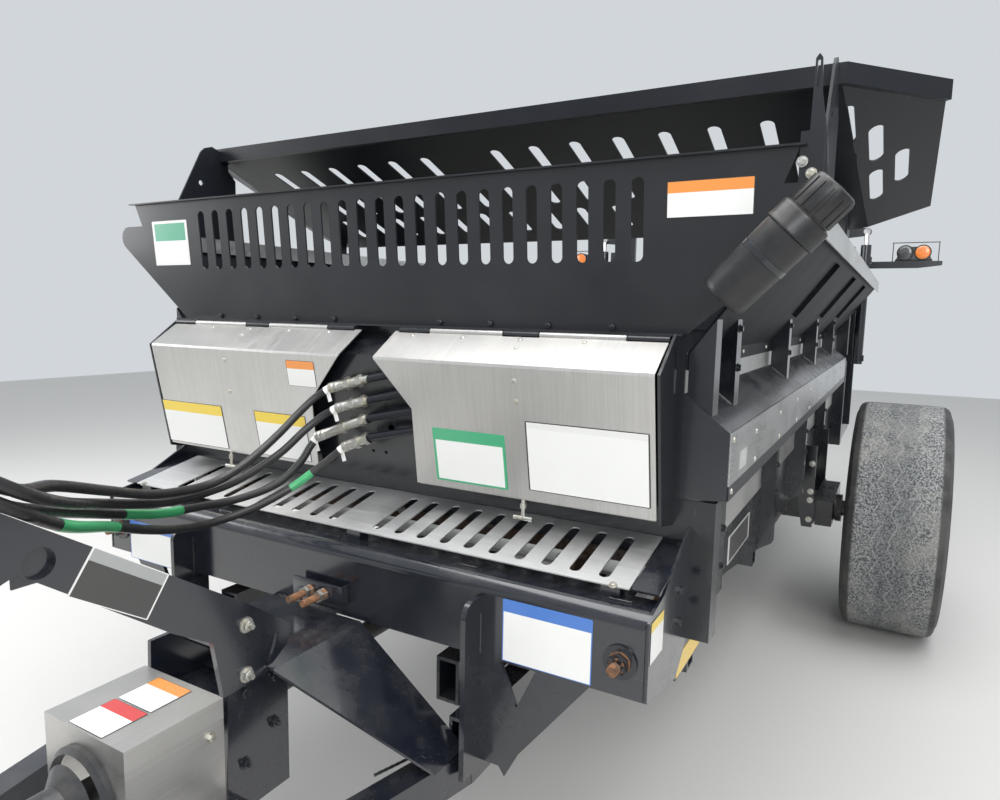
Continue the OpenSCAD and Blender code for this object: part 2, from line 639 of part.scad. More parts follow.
// Drive shaft: the input yoke, the shaft through the bearings and the run under the floor
guard_r = 42;
yoke_y = -1480;
module driveline() part("#3a3c3e") {
  difference() {
    union() {
      translate([0, yoke_y, drive_z]) rotate([-90, 0, 0]) cylinder(h = 70, r = 34);
      translate([0, yoke_y + 10, drive_z]) rotate([-90, 0, 0]) cylinder(h = 12, r = 44);
      translate([0, yoke_y + 60, drive_z]) rotate([-90, 0, 0]) cylinder(h = 4 - yoke_y - 60 + gear_front_y + 60, r = drive_r);
    }
    translate([0, yoke_y - 1, drive_z]) rotate([-90, 0, 0]) cylinder(h = 61, r = 17.5);
  }
}
module pto_guard() part(rubber) difference() {
  union() {
    translate([0, -1400, drive_z]) rotate([-90, 0, 0]) cylinder(h = 560, r = guard_r);
    translate([0, -860, drive_z]) rotate([-90, 0, 0]) cylinder(h = 40, r1 = guard_r, r2 = 92, $fn = 64);
    translate([0, -820, drive_z]) rotate([-90, 0, 0]) cylinder(h = 9.7, r = 92);
  }
  translate([0, -1401, drive_z]) rotate([-90, 0, 0]) cylinder(h = 600, r = drive_r + 6);
  translate([0, -838, drive_z]) rotate([-90, 0, 0]) cylinder(h = 50, r = 82);
}
// Stainless cover over the input bearing
cover_box = [[-118.5, -810, 560], [118.5, -610, 800]];
module drive_cover() part(stainless) difference() {
  block(cover_box[0], cover_box[1]);
  block(cover_box[0] + [cover_t, 4, -1], cover_box[1] - [cover_t, -1, cover_t]);
  translate([0, -820, drive_z]) rotate([-90, 0, 0]) cylinder(h = 20, r = 80);
}

// Splash shield: a flat top with sloping sides over the tongue
shield_z = 820;
shield_t = 5;
shield_foot_z = tongue_z + front_rail_h + shield_t;
shield_foot_x = 438;
shield_slope = [[shield_foot_x, shield_foot_z], [147, shield_z], [-147, shield_z], [-shield_foot_x, shield_foot_z]];
module tongue_shield() part(black) {
  difference() {
    along_y(-512, 264) polygon(folded(shield_slope, shield_t));
    // Front corners cut back along the slope
    for (s = [-1, 1]) translate([s * 147, -513, 500]) rotate([0, 0, s * 28]) translate([s > 0 ? 0 : -500, -300, 0])
      cube([500, 300, 400]);
  }
  // Upright cleats that stand on the rails
  both_sides() along_y(-300, 6)
    polygon([[345, tongue_z + front_rail_h], [420, tongue_z + front_rail_h], [412, shield_under(412)],
             [345, shield_under(345)]]);
}
function shield_under(x) =
  shield_z - (x - 147) * (shield_z - shield_foot_z) / (shield_foot_x - 147)
  - shield_t * norm([shield_foot_x - 147, shield_z - shield_foot_z]) / (shield_foot_x - 147);

// Arm that holds the hoses up, bolted to the right tower plate, with a ring at its tip
arm_rise = 34;
arm_tip_y = -1250;
arm_x = tower_x + 4;
arm_top = [[-562, 975], [arm_tip_y, 1439]];
ring_r = 38;
ring_mid = [-1273, 1478];
ring_low = ring_mid - ring_r * [sin(arm_rise), cos(arm_rise)];
module hose_arm() part(black) {
  along_x(arm_x, 12) difference() {
    polygon([[-620, 808], [-514, 812], [-514, shield_z + 4], [-500, shield_z + 6], [-462, 850], [-445, 887], arm_top[0], arm_top[1],
             ring_low + [-5, 1], ring_low + [3, -8], [arm_tip_y - 18, 1425],
             [arm_tip_y, 1340], [-1010, 1182], [-985, 1150], [-960, 1160], [-719, 975], [-640, 925]]);
    translate([-930, 1168]) circle(24);
    difference() {
      translate([-600, 905]) circle(118);
      translate([-600, 905]) circle(108);
      translate([-800, 600]) square([400, 225]);
      translate([-800, 885]) square([400, 200]);
      translate([-800, 600]) square([220, 500]);
    }
  }
  translate([arm_x + 6, ring_mid[0], ring_mid[1]]) rotate([90 - arm_rise, 0, 0]) rotate_extrude() translate([ring_r, 0]) circle(6);
}

// Hoses: the first points belong to each hose, the rest to the bundle that lies on the arm
hose_r = 10;
hose_starts = [
  [[-75, -100, 1338], [-108, -118, 1314], [-130, -155, 1276], [-142, -220, 1224], [-153, -310, 1168],
   [-158, -400, 1138], [-145, -500, 1141], [-105, -600, 1163], [-45, -720, 1205], [33, -850, 1252]],
  [[-52, -100, 1288], [-88, -116, 1266], [-118, -150, 1230], [-140, -215, 1178], [-168, -310, 1130],
   [-182, -400, 1112], [-168, -500, 1116], [-128, -600, 1140], [-62, -720, 1178], [58, -850, 1228]],
  [[-122, -100, 1206], [-134, -116, 1180], [-141, -146, 1142], [-160, -205, 1096], [-196, -290, 1072],
   [-212, -380, 1072], [-192, -500, 1086], [-150, -600, 1114], [-86, -720, 1156], [18, -850, 1208]],
  [[-30, -100, 1189], [-52, -116, 1166], [-84, -144, 1132], [-130, -195, 1084], [-176, -275, 1044],
   [-200, -370, 1030], [-186, -475, 1044], [-142, -580, 1078], [-70, -700, 1128], [58, -850, 1190]]];
// Columns: place along Y, height, pitch of the path in degrees
hose_bundle = [[-960, 1270, 34], [-1060, 1338, 34], [-1160, 1405, 34], [-1250, 1466, 30], [-1325, 1501, 14],
               [-1395, 1499, -14], [-1448, 1452, -55], [-1470, 1375, -82], [-1475, 1285, -90], [-1475, 1200, -90]];
// Columns: place across the bundle, place above its middle
hose_seats = [[-12, 12], [12, 12], [-12, -12], [12, -12]];
function hose_route(i) = concat(hose_starts[i],
  [for (p = hose_bundle) [arm_x + 6 + hose_seats[i][0], p[0] + hose_seats[i][1] * sin(p[2]), p[1] + hose_seats[i][1] * cos(p[2])]]);
sides = 8;
function ring_at(p, d, r) =
  let (u = unit(cross(d, abs(d[0]) > 0.9 ? [0, 1, 0] : [1, 0, 0])), v = cross(d, u))
  [for (k = [0 : sides - 1]) p + r * (cos(360 * k / sides) * u + sin(360 * k / sides) * v)];
module swept(route, r) {
  n = len(route);
  dirs = [for (i = [0 : n - 1]) unit(route[min(i + 1, n - 1)] - route[max(i - 1, 0)])];
  points = [for (i = [0 : n - 1]) each ring_at(route[i], dirs[i], r)];
  walls = [for (i = [0 : n - 2]) for (k = [0 : sides - 1])
    [i * sides + k, i * sides + (k + 1) % sides, (i + 1) * sides + (k + 1) % sides, (i + 1) * sides + k]];
  ends = [[for (k = [sides - 1 : -1 : 0]) k], [for (k = [0 : sides - 1]) (n - 1) * sides + k]];
  polyhedron(points, concat(walls, ends), convexity = 10);
}
module hose(i) part(rubber) swept(hose_route(i), hose_r);
module hose_1() hose(0);
module hose_2() hose(1);
module hose_3() hose(2);
module hose_4() hose(3);
coupler_len = 90;
module hose_couplers() part(zinc) for (i = [0 : 3]) {
  p = hose_route(i)[19];
  translate([p[0], p[1], p[2] - gap - coupler_len]) {
    translate([0, 0, 40]) cylinder(h = coupler_len - 40, r = 9.5);
    cylinder(h = 40, r = 9.8);
  }
}

// Canister for papers on the screen's right part
canister_r = 52;
canister_low = [screen_half - 104, -62, 1585];
canister_high = [screen_half + 71, -62, 1765];
module manual_canister() part("#26282b") {
  axis = unit(canister_high - canister_low);
  rod(canister_low - 10 * axis, canister_high - 60 * axis, canister_r);
  rod(canister_high - 60 * axis, canister_high + 10 * axis, canister_r + 5);
  rod(canister_low - 16 * axis, canister_low - 10 * axis, canister_r - 6);
  // Saddle between the tube and the screen
  middle = (canister_low + canister_high) / 2;
  on_screen() translate([middle[0] - 30, -40, middle[2] - screen_z - 15]) cube([60, 40, 30]);
}

module lever_arm() part(black) {
  // Bracket on the back of the screen's corner
  on_screen() block([screen_half, 5, screen_h - 108], [screen_half + 42, 12, screen_h + 26]);
  // Tapered lever with a long eye in its tip
  translate([screen_half, 0, 0]) along_y(14, 8) difference() {
    polygon([[14, 1780], [52, 1780], [45, 1876], [31, 1957], [28, 2016], [22, 2024], [16, 2016], [14, 1876]]);
    translate([22, 1964]) slot(5, 50);
  }
}

// Parking jack on the left rail: a fixed tube and a sliding leg
jack_y = -1120;
jack_out = 122;
jack_r = 45;
jack_leg_r = 38;
jack_top = 1010;
jack_low = 330;
jack_travel = 300;
// Places the jack beside the left rail, square to it
module at_jack() translate([-rail_x(jack_y), jack_y, 0]) rotate([0, 0, atan(rail_lean)])
  translate([-jack_out, 0, 0]) children();
module jack_tube() part(black) at_jack() {
  difference() {
    union() {
      translate([0, 0, jack_low]) cylinder(h = jack_top - jack_low, r = jack_r);
      translate([0, 0, tongue_z + 10]) cylinder(h = 120, r = jack_r + 12);
      block([30, -40, tongue_z + 14], [jack_out - rail_w / 2, 40, tongue_z + 74]);
    }
    translate([0, 0, jack_low - 1]) cylinder(h = jack_top - jack_low - 9, r = jack_leg_r + pin_gap);
  }
  translate([0, 0, jack_top]) cylinder(h = 30, r = 20);
}
module jack_leg() part(zinc) at_jack() {
  translate([0, 0, 14]) cylinder(h = jack_low + jack_travel + 40 - 14, r = jack_leg_r);
  cylinder(h = 14, r = 110);
}

// Axle tube with its spindles, longitudinal beams and mounting plates
beam_x0 = 884;
beam_x1 = 960;
module axle() part(black) {
  z = tyre_r;
  a = axle_side / 2;
  block([-beam_x0 - 20, axle_y - a, z - a], [beam_x0 + 20, axle_y + a, z + a]);
  both_sides() {
    block([beam_x0, axle_y - 250, z - 42], [beam_x1, axle_y + 250, z + 83]);
    translate([beam_x1 - 1, axle_y, z]) rotate([0, 90, 0]) cylinder(h = wheel_x + 40 - beam_x1, r = spindle_r);
    translate([beam_x1 - 1, axle_y, z]) rotate([0, 90, 0]) cylinder(h = 30, r = 70);
    // Mounting plates down from the skirt
    for (y = [axle_y - 310, axle_y + 300]) {
      block([side_x, y, 700], [beam_x0 - 6, y + 10, 925]);
      along_y(y, 10) polygon([[side_x, 700], [beam_x0 - 6, 700], [beam_x0 - 6, 520], [side_x + 30, 520]]);
    }
    block([side_x, axle_y - 310, 700], [side_x + 10, axle_y + 310, 925]);
    block([beam_x0 - 14, axle_y - 310, 540], [beam_x0, axle_y + 310, 640]);
    // Saddles between the frame rails and the axle tube
    block([frame_x, axle_y - 60, z + a], [frame_x + frame_w, axle_y + 60, rail_low_z]);
  }
}

hub_out = 60;
module rim_at(s) part(charcoal) translate([0, axle_y, tyre_r]) mirror([s > 0 ? 0 : 1, 0, 0]) translate([wheel_x, 0, 0])
  rotate([0, 90, 0]) {
    // Rim well, disc and hub, turned about the wheel's axis
    rotate_extrude($fn = 72) polygon([
      [spindle_r + pin_gap, -150], [75, -150], [75, -40], [120, -30], [140, 10], [230, 30], [rim_r - 62, 20],
      [rim_r - 58, -60], [rim_r - 30, -70], [rim_r - 10, -150], [rim_r - 8, -182], [rim_r + 12, -182],
      [rim_r + 12, -176], [rim_r, -170], [rim_r, -140], [rim_r - 24, -60], [rim_r - 48, -50],
      [rim_r - 48, 60], [rim_r - 12, 80], [rim_r, 140], [rim_r, 170], [rim_r + 12, 176],
      [rim_r + 12, 182], [rim_r - 8, 182], [rim_r - 20, 88], [rim_r - 58, 68],
      [rim_r - 62, 32], [225, 42], [135, 22], [115, 60], [72, 90], [60, 120], [0, 120], [0, 60],
      [spindle_r + pin_gap, 60]]);
    for (k = [0 : 9]) rotate([0, 0, 36 * k]) translate([168, 0, 14]) cylinder(h = 34, r = 14);
  }
module rim_left() rim_at(-1);
module rim_right() rim_at(1);
module tyre_at(s) part(rubber) translate([s * wheel_x, axle_y, tyre_r]) rotate([0, 90, 0]) {
  w = tyre_w / 2;
  rotate_extrude($fn = 64) polygon([
    [rim_r + gap, -w + 44], [rim_r + 60, -w + 8], [rim_r + 140, -w], [tyre_r - 60, -w + 12],
    [tyre_r - 22, -w + 22], [tyre_r - 6, -w + 42], [tyre_r, -w + 90], [tyre_r, w - 90], [tyre_r - 6, w - 42],
    [tyre_r - 22, w - 22], [tyre_r - 60, w - 12], [rim_r + 140, w], [rim_r + 60, w - 8],
    [rim_r + gap, w - 44]]);
}
module tyre_left() tyre_at(-1);
module tyre_right() tyre_at(1);

// Apron: two chains with slats, over the front roller and the rear sprockets
roller_y = 20;
sprocket_y = box_rear_y - 60;
roller_z = floor_z - roller_r;
loop_straight = sprocket_y - roller_y;
turn_r = roller_r + chain_t / 2 + gap;
loop_len = 2 * loop_straight + 2 * PI * turn_r;
links = floor(loop_len / chain_pitch);
pitch = loop_len / links;
// Place and direction along the loop: [y, z, angle]
function loop_at(s) =
  s < loop_straight ? [roller_y + s, roller_z + turn_r, 0] :
  s < loop_straight + PI * turn_r ?
    let (a = (s - loop_straight) / turn_r * 180 / PI) [sprocket_y + turn_r * sin(a), roller_z + turn_r * cos(a), -a] :
  s < 2 * loop_straight + PI * turn_r ?
    [sprocket_y - (s - loop_straight - PI * turn_r), roller_z - turn_r, 180] :
  let (a = (s - 2 * loop_straight - PI * turn_r) / turn_r * 180 / PI)
    [roller_y - turn_r * sin(a), roller_z - turn_r * cos(a), 180 - a];
link_len = pitch - gap;
slat_h = roller_z - turn_r - chain_t / 2 - rail_top_z - gap;
apron_shaft_r = 25;
module apron_chain() part("#4a4440") for (x = [-chain_x, chain_x]) for (i = [0 : links - 1]) {
  p = loop_at((i + 0.5) * pitch);
  translate([x, p[0], p[1]]) rotate([p[2], 0, 0]) linear_extrude(chain_t, center = true)
    polygon([[-30, -link_len / 2], [30, -link_len / 2], [20, link_len / 2], [-20, link_len / 2]]);
}
slat_step = 3;
slat_half = 760;
module apron_slats() part("#4a4440") for (i = [0 : slat_step : links - slat_step]) {
  p = loop_at((i + 0.5) * pitch);
  translate([0, p[0], p[1]]) rotate([p[2], 0, 0]) translate([-slat_half, 0, chain_t / 2])
    rotate([90, 0, 90]) linear_extrude(2 * slat_half)
      polygon(folded([[-20, slat_h], [-20, 0], [22, 0]], 6));
}
module apron_rollers() part("#3b3b3b") {
  for (x = [-chain_x, chain_x]) {
    translate([x - 35, roller_y, roller_z]) rotate([0, 90, 0]) cylinder(h = 70, r = roller_r);
    translate([x - 35, sprocket_y, roller_z]) rotate([0, 90, 0]) cylinder(h = 70, r = roller_r);
  }
  for (y = [roller_y, sprocket_y])
    translate([-side_x + 12, y, roller_z]) rotate([0, 90, 0]) cylinder(h = 2 * side_x - 24, r = apron_shaft_r);
}

// Rear gate in its guides, with a head bar that the lift rods carry
gate_t = 8;
gate_y = box_rear_y + 50;
gate_low_z = floor_z + 62;
gate_top_z = 1750;
gate_half = half_w + 20;
head_z = 2090;
eye_x = 935;
eye_y = gate_y + gate_t / 2;
eye_z = head_z + 30;
eye_pin_r = 12;
eye_t = 16;
// The lift rods pass just before the eye plates
lift_y = eye_y - eye_t / 2 - rod_r - 1;
// The flared boards end just before the lift cylinders
flare_end_y = lift_y - barrel_r - 2;
module gate() part(black) {
  block([-gate_half, gate_y, gate_low_z], [gate_half, gate_y + gate_t, gate_top_z]);
  for (z = [gate_low_z + 150, gate_low_z + 420, gate_top_z - 40])
    block([-half_w + 60, gate_y - 22, z], [half_w - 60, gate_y, z + 40]);
  both_sides() {
    block([half_w - 110, gate_y - 22, gate_top_z - 40], [half_w - 60, gate_y + gate_t, head_z + 50]);
    difference() {
      along_y(eye_y - eye_t / 2, eye_t) union() {
        polygon([[half_w - 80, head_z - 20], [half_w - 80, head_z + 60], [eye_x, eye_z + 26], [eye_x, eye_z - 26]]);
        translate([eye_x, eye_z]) circle(26);
      }
      translate([eye_x, eye_y - 20, eye_z]) rotate([-90, 0, 0]) cylinder(h = 40, r = eye_pin_r + pin_gap);
    }
  }
}
barrel_low_z = 1230;
barrel_top_z = eye_z - 90;
rod_low_z = barrel_low_z + 28;
module gate_rods() part("#c9ccce") both_sides() {
  difference() {
    translate([eye_x, eye_y - 35, eye_z]) rotate([-90, 0, 0]) cylinder(h = 24, r = 22);
    translate([eye_x, eye_y - 60, eye_z]) rotate([-90, 0, 0]) cylinder(h = 60, r = eye_pin_r);
  }
  translate([eye_x, eye_y - 37, eye_z]) rotate([-90, 0, 0]) cylinder(h = 47, r = eye_pin_r);
  translate([eye_x, lift_y, rod_low_z]) cylinder(h = eye_z - 18 - rod_low_z, r = rod_r);
}

// Rear frame: guide posts, lift cylinders, lamp posts and the beam over the beaters
post_rear_y = box_rear_y + 350;
post_top_z = 2020;
lamp_arm_y = post_rear_y + 8;
lamp_z = 2000;
rear_rail_z = rail_low_z;
module rear_frame() part(black) {
  both_sides() {
    // Guide post with a groove for the gate
    difference() {
      block([half_w, box_rear_y + gap, rail_low_z], [side_x + 70, box_rear_y + 110, post_top_z]);
      block([half_w - 1, gate_y - 6, gate_low_z - 8], [gate_half + 6, gate_y + gate_t + 6, post_top_z + 1]);
      block([half_w + 34, box_rear_y + 12, rail_low_z - 1], [side_x + 62, box_rear_y + 102, post_top_z + 1]);
    }
    // Lift cylinder on its brackets
    difference() {
      translate([eye_x, lift_y, barrel_low_z]) cylinder(h = barrel_top_z - barrel_low_z, r = barrel_r);
      translate([eye_x, lift_y, barrel_low_z + 20]) cylinder(h = barrel_top_z, r = rod_r + pin_gap);
    }
    for (z = [barrel_low_z + 20, barrel_top_z - 120])
      difference() {
        block([side_x + 70, lift_y - 25, z], [eye_x + 40, lift_y + 25, z + 40]);
        translate([eye_x, lift_y, z - 1]) cylinder(h = 60, r = barrel_r - 2);
      }
    // Lower rail, lamp post and its stay
    level_tube([side_x + 30, box_rear_y + 110, rear_rail_z], [side_x + 30, rear_end_y, rear_rail_z], 60, 104, 8);
    block([side_x + 40, post_rear_y, rear_rail_z + 104], [side_x + 100, post_rear_y + 60, lamp_z - 60]);
    level_tube([side_x + 60, box_rear_y + 110, lamp_z - 120], [side_x + 60, post_rear_y, lamp_z - 120], 40, 60, 5);
    // Lamp arm
    along_y(lamp_arm_y, 40) polygon([[side_x + 100, lamp_z - 105], [1250, lamp_z - 105], [1390, lamp_z - 88],
                                     [1394, lamp_z - 66], [1388, lamp_z - 58], [side_x + 100, lamp_z - 58]]);
  }
  // Rear cross rail
  block([-side_x - 60, rear_end_y - 60, rear_rail_z], [side_x + 60, rear_end_y, rear_rail_z + 104]);
}

// Gear cases under the beaters, with the drive case between them
beater_y = box_rear_y + 530;
gear_low_z = drive_z - 70;
gear_top_z = 900;
gear_front_y = beater_y - 110;
shaft_r = 40;
module beater_drive() part("#2b2f33") difference() {
  union() {
    block([-90, gear_front_y, gear_low_z], [90, beater_y + 100, gear_top_z - 60]);
    for (s = [-1, 1]) {
      translate([s * beater_x, beater_y, rail_top_z]) cylinder(h = gear_top_z - rail_top_z, r = 120);
      rod([s * 80, beater_y, rail_top_z + 38], [s * (beater_x - 60), beater_y, rail_top_z + 38], 34);
      block([s * beater_x - 150, beater_y - 70, rail_top_z], [s * beater_x + 150, beater_y + 70, rail_top_z + 20]);
    }
  }
  for (s = [-1, 1]) translate([s * beater_x, beater_y, gear_top_z - 90]) cylinder(h = 100, r = shaft_r + pin_gap);
  translate([0, gear_front_y - 1, drive_z]) rotate([-90, 0, 0]) cylinder(h = 70, r = drive_r + pin_gap);
}

// Beater: shaft, dish with throwing paddles, tube and top cap
dish_z = 975;
dish_t = 12;
tube_z = dish_z + dish_t;
module beater_at(s) part("#2a2d30") translate([s * beater_x, beater_y, 0]) {
  translate([0, 0, gear_top_z - 85]) cylinder(h = dish_z - gear_top_z + 90, r = shaft_r);
  translate([0, 0, gear_top_z + 8]) cylinder(h = dish_z - gear_top_z - 8, r = 95);
  translate([0, 0, dish_z]) cylinder(h = dish_t, r = dish_r, $fn = 72);
  translate([0, 0, tube_z]) cylinder(h = beater_h, r = beater_tube_r);
  translate([0, 0, tube_z + beater_h]) cylinder(h = 10, r = beater_tube_r + 12);
  for (k = [0 : 3]) rotate([0, 0, 90 * k + 20]) translate([dish_r - 130, -5, tube_z]) cube([118, 10, 60]);
}
module beater_left() beater_at(-1);
module beater_right() beater_at(1);

// Flight: two helical blades round the tube, wound from a short section
flight_turns = 1.25;
flight_steps = 30;
flight_t = 10;
flight_z = tube_z + 70;
flight_rise = beater_h - 110;
module flight_blade(s, start) {
  turn = 360 * flight_turns / flight_steps;
  r0 = (beater_tube_r + gap) / cos(turn / 2);
  points = [for (i = [0 : flight_steps]) let (a = start + s * i * turn, z = flight_z + flight_rise * i / flight_steps)
    each [[r0 * cos(a), r0 * sin(a), z], [flight_r * cos(a), flight_r * sin(a), z],
          [flight_r * cos(a), flight_r * sin(a), z + flight_t], [r0 * cos(a), r0 * sin(a), z + flight_t]]];
  walls = [for (i = [0 : flight_steps - 1]) for (k = [0 : 3])
    let (a = 4 * i + k, b = 4 * i + (k + 1) % 4)
    each s > 0 ? [[a, a + 4, b], [b, a + 4, b + 4]] : [[a, b, a + 4], [b, b + 4, a + 4]]];
  n = 4 * flight_steps;
  ends = s > 0 ? [[0, 1, 2, 3], [n + 3, n + 2, n + 1, n]] : [[3, 2, 1, 0], [n, n + 1, n + 2, n + 3]];
  polyhedron(points, concat(walls, ends), convexity = 10);
}
module flight_at(s) part("#34383c") translate([s * beater_x, beater_y, 0])
  for (start = [0, 180]) flight_blade(s, start);
module flight_left() flight_at(-1);
module flight_right() flight_at(1);

// Lamps on the arms: a housing with two round lenses on each side
lens_r = 52;
lamp_xs = [1165, 1272];
module lamps() part("#1f2225") both_sides() {
  for (x = lamp_xs) translate([x, lamp_arm_y - 18, lamp_z]) rotate([-90, 0, 0]) cylinder(h = 66, r = lens_r);
  block([lamp_xs[0], lamp_arm_y - 6, lamp_z - 50], [lamp_xs[1], lamp_arm_y + 36, lamp_z + 40]);
  block([lamp_xs[0] - 60, lamp_arm_y, lamp_z - 58], [lamp_xs[1] + 60, lamp_arm_y + 36, lamp_z - 46]);
}

main_frame();
box_floor();
wall_left();
wall_right();
flare_left();
flare_right();
flare_caps();
side_frames();
ledge_left();
ledge_right();
ledge_strips();
front_wall();
front_screen();
splash_hood();
cover_left();
cover_right();
step_grate();
front_beam();
tension_rods();
tongue();
tongue_shield();
drive_cover();
pto_guard();
driveline();
hose_arm();
hose_1();
hose_2();
hose_3();
hose_4();
hose_couplers();
hose_fittings();
manual_canister();
lever_arm();
jack_tube();
jack_leg();
axle();
rim_left();
rim_right();
tyre_left();
tyre_right();
apron_chain();
apron_slats();
apron_rollers();
gate();
gate_rods();
rear_frame();
beater_drive();
beater_left();
beater_right();
flight_left();
flight_right();
lamps();
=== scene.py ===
# %% [markdown]
# # A towed manure spreader
# The machine is a long steel box on two wheels. A chain apron carries the load to the rear, a gate
# holds it back, and two upright beaters throw it out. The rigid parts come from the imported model.
# This script adds what a builder sees from a step away: paint, brushed steel, bolts, welds, tread,
# lamps and hoses. Everything is in metres in the model's own frame.

import math

import bmesh
import bpy
from mathutils import Matrix, Vector


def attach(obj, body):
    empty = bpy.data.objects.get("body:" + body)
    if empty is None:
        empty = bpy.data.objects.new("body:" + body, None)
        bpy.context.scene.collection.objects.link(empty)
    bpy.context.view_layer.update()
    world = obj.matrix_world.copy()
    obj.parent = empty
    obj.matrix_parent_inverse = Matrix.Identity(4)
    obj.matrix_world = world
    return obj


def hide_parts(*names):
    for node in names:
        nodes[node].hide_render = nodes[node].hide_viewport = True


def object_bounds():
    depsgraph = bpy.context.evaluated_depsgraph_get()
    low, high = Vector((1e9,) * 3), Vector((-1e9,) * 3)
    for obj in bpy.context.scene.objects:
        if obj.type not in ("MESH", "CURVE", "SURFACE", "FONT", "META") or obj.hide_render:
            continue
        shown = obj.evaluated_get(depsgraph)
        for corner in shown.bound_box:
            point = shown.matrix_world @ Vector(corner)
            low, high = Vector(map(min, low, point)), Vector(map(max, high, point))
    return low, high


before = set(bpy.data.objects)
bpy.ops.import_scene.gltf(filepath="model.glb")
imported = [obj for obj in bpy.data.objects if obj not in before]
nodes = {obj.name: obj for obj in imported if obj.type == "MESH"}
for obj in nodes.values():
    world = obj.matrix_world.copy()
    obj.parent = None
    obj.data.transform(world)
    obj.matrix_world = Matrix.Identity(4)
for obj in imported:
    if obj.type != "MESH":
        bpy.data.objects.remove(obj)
cad_box = [list(corner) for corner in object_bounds()]
print("model box", cad_box)

# %% [markdown]
# The working drawings count millimetres from the top edge of the front screen, because that edge is
# the sharpest line in the photograph. `at` turns such a place into the model's frame. The hitch nose
# lies 1780 mm ahead of that edge, so the frame's own box tells where the edge is.

# %% Places on the machine
MM = 0.001
NOSE_AHEAD = 1780 * MM
edge_y = cad_box[0][1] + NOSE_AHEAD


def at(x, y, z):
    """A place in millimetres from the screen's top edge, as a point in the model's frame."""
    return Vector((x * MM, y * MM + edge_y, z * MM))


print("screen edge at y =", round(edge_y, 4))

# %% [markdown]
# ## Camera
# The camera stands off the right front corner at eye height. Its place and its three directions were
# solved from the edges of the front end, which meet at right angles on the real machine.

# %% Camera
FRAME_W = 1000
FOCAL_PX = 709
EYE = at(1194, -1464, 1542)
RIGHT = Vector((0.870, 0.4927, 0.019)).normalized()
AHEAD = Vector((-0.4868, 0.8646, -0.1242))
AHEAD = (AHEAD - AHEAD.dot(RIGHT) * RIGHT).normalized()
UP = RIGHT.cross(AHEAD)

camera_data = bpy.data.cameras.new("photo_camera")
camera_data.sensor_fit = "HORIZONTAL"
camera_data.angle = 2 * math.atan(FRAME_W / 2 / FOCAL_PX)
camera_data.clip_start = 0.05
camera = bpy.data.objects.new("photo_camera", camera_data)
bpy.context.collection.objects.link(camera)
turn = Matrix((RIGHT, UP, -AHEAD)).transposed().to_4x4()
camera.matrix_world = Matrix.Translation(EYE) @ turn
bpy.context.scene.camera = camera
print("camera at", [round(v, 3) for v in EYE])

# %% [markdown]
# ## Hoses
# Four hydraulic hoses leave the fittings between the covers, sag forward and climb along an arm to a
# ring, where they hang with their couplers. A hose keeps its length, so each one is a single smooth
# curve through listed points. The points are the ones that the solids follow.

# %% Hose routes
HOSE_D = 0.02
ARM_MIDDLE_X = 128
HOSE_STARTS = [
    [(-75, -100, 1338), (-108, -118, 1314), (-130, -155, 1276), (-142, -220, 1224), (-153, -310, 1168),
     (-158, -400, 1138), (-145, -500, 1141), (-105, -600, 1163), (-45, -720, 1205), (33, -850, 1252)],
    [(-52, -100, 1288), (-88, -116, 1266), (-118, -150, 1230), (-140, -215, 1178), (-168, -310, 1130),
     (-182, -400, 1112), (-168, -500, 1116), (-128, -600, 1140), (-62, -720, 1178), (58, -850, 1228)],
    [(-122, -100, 1206), (-134, -116, 1180), (-141, -146, 1142), (-160, -205, 1096), (-196, -290, 1072),
     (-212, -380, 1072), (-192, -500, 1086), (-150, -600, 1114), (-86, -720, 1156), (18, -850, 1208)],
    [(-30, -100, 1189), (-52, -116, 1166), (-84, -144, 1132), (-130, -195, 1084), (-176, -275, 1044),
     (-200, -370, 1030), (-186, -475, 1044), (-142, -580, 1078), (-70, -700, 1128), (58, -850, 1190)],
]
# Along the arm and over the ring: place, height, pitch in degrees
BUNDLE = [(-960, 1270, 34), (-1060, 1338, 34), (-1160, 1405, 34), (-1250, 1466, 30), (-1325, 1501, 14),
          (-1395, 1499, -14), (-1448, 1452, -55), (-1470, 1375, -82), (-1475, 1285, -90), (-1475, 1200, -90)]
# Where each hose lies in the bundle: across, above
LANES = [(-12, 12), (12, 12), (-12, -12), (12, -12)]


def hose_points(start, lane):
    """The points that one hose passes through."""
    across, above = lane
    points = [at(*p) for p in start]
    for y, z, pitch in BUNDLE:
        tilt = math.radians(pitch)
        points.append(at(ARM_MIDDLE_X + across, y + above * math.sin(tilt), z + above * math.cos(tilt)))
    return points


def smooth(points, steps=6):
    """A rounded line through the points, a few steps to each stretch."""
    line = []
    for i in range(len(points) - 1):
        before = points[max(i - 1, 0)]
        a, b = points[i], points[i + 1]
        after = points[min(i + 2, len(points) - 1)]
        for k in range(steps):
            t = k / steps
            line.append(0.5 * (2 * a + (b - before) * t + (2 * before - 5 * a + 4 * b - after) * t ** 2
                               + (3 * a - before - 3 * b + after) * t ** 3))
    return line + [points[-1]]


def line_length(points):
    """The length of a line through its points."""
    return sum((b - a).length for a, b in zip(points, points[1:]))


def tube_curve(name, points, radius, finish=None):
    """A round tube along a line, as a curve on the chassis. Each point's radius is the tube's."""
    curve = bpy.data.curves.new(name, "CURVE")
    curve.dimensions = "3D"
    curve.bevel_depth = 1
    curve.bevel_resolution = 3
    curve.use_fill_caps = True
    spline = curve.splines.new("POLY")
    spline.points.add(len(points) - 1)
    for dot, place in zip(spline.points, points):
        dot.co = (*place, 1)
        dot.radius = radius
    if finish:
        curve.materials.append(finish)
    tube = bpy.data.objects.new(name, curve)
    bpy.context.collection.objects.link(tube)
    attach(tube, "chassis")
    return tube


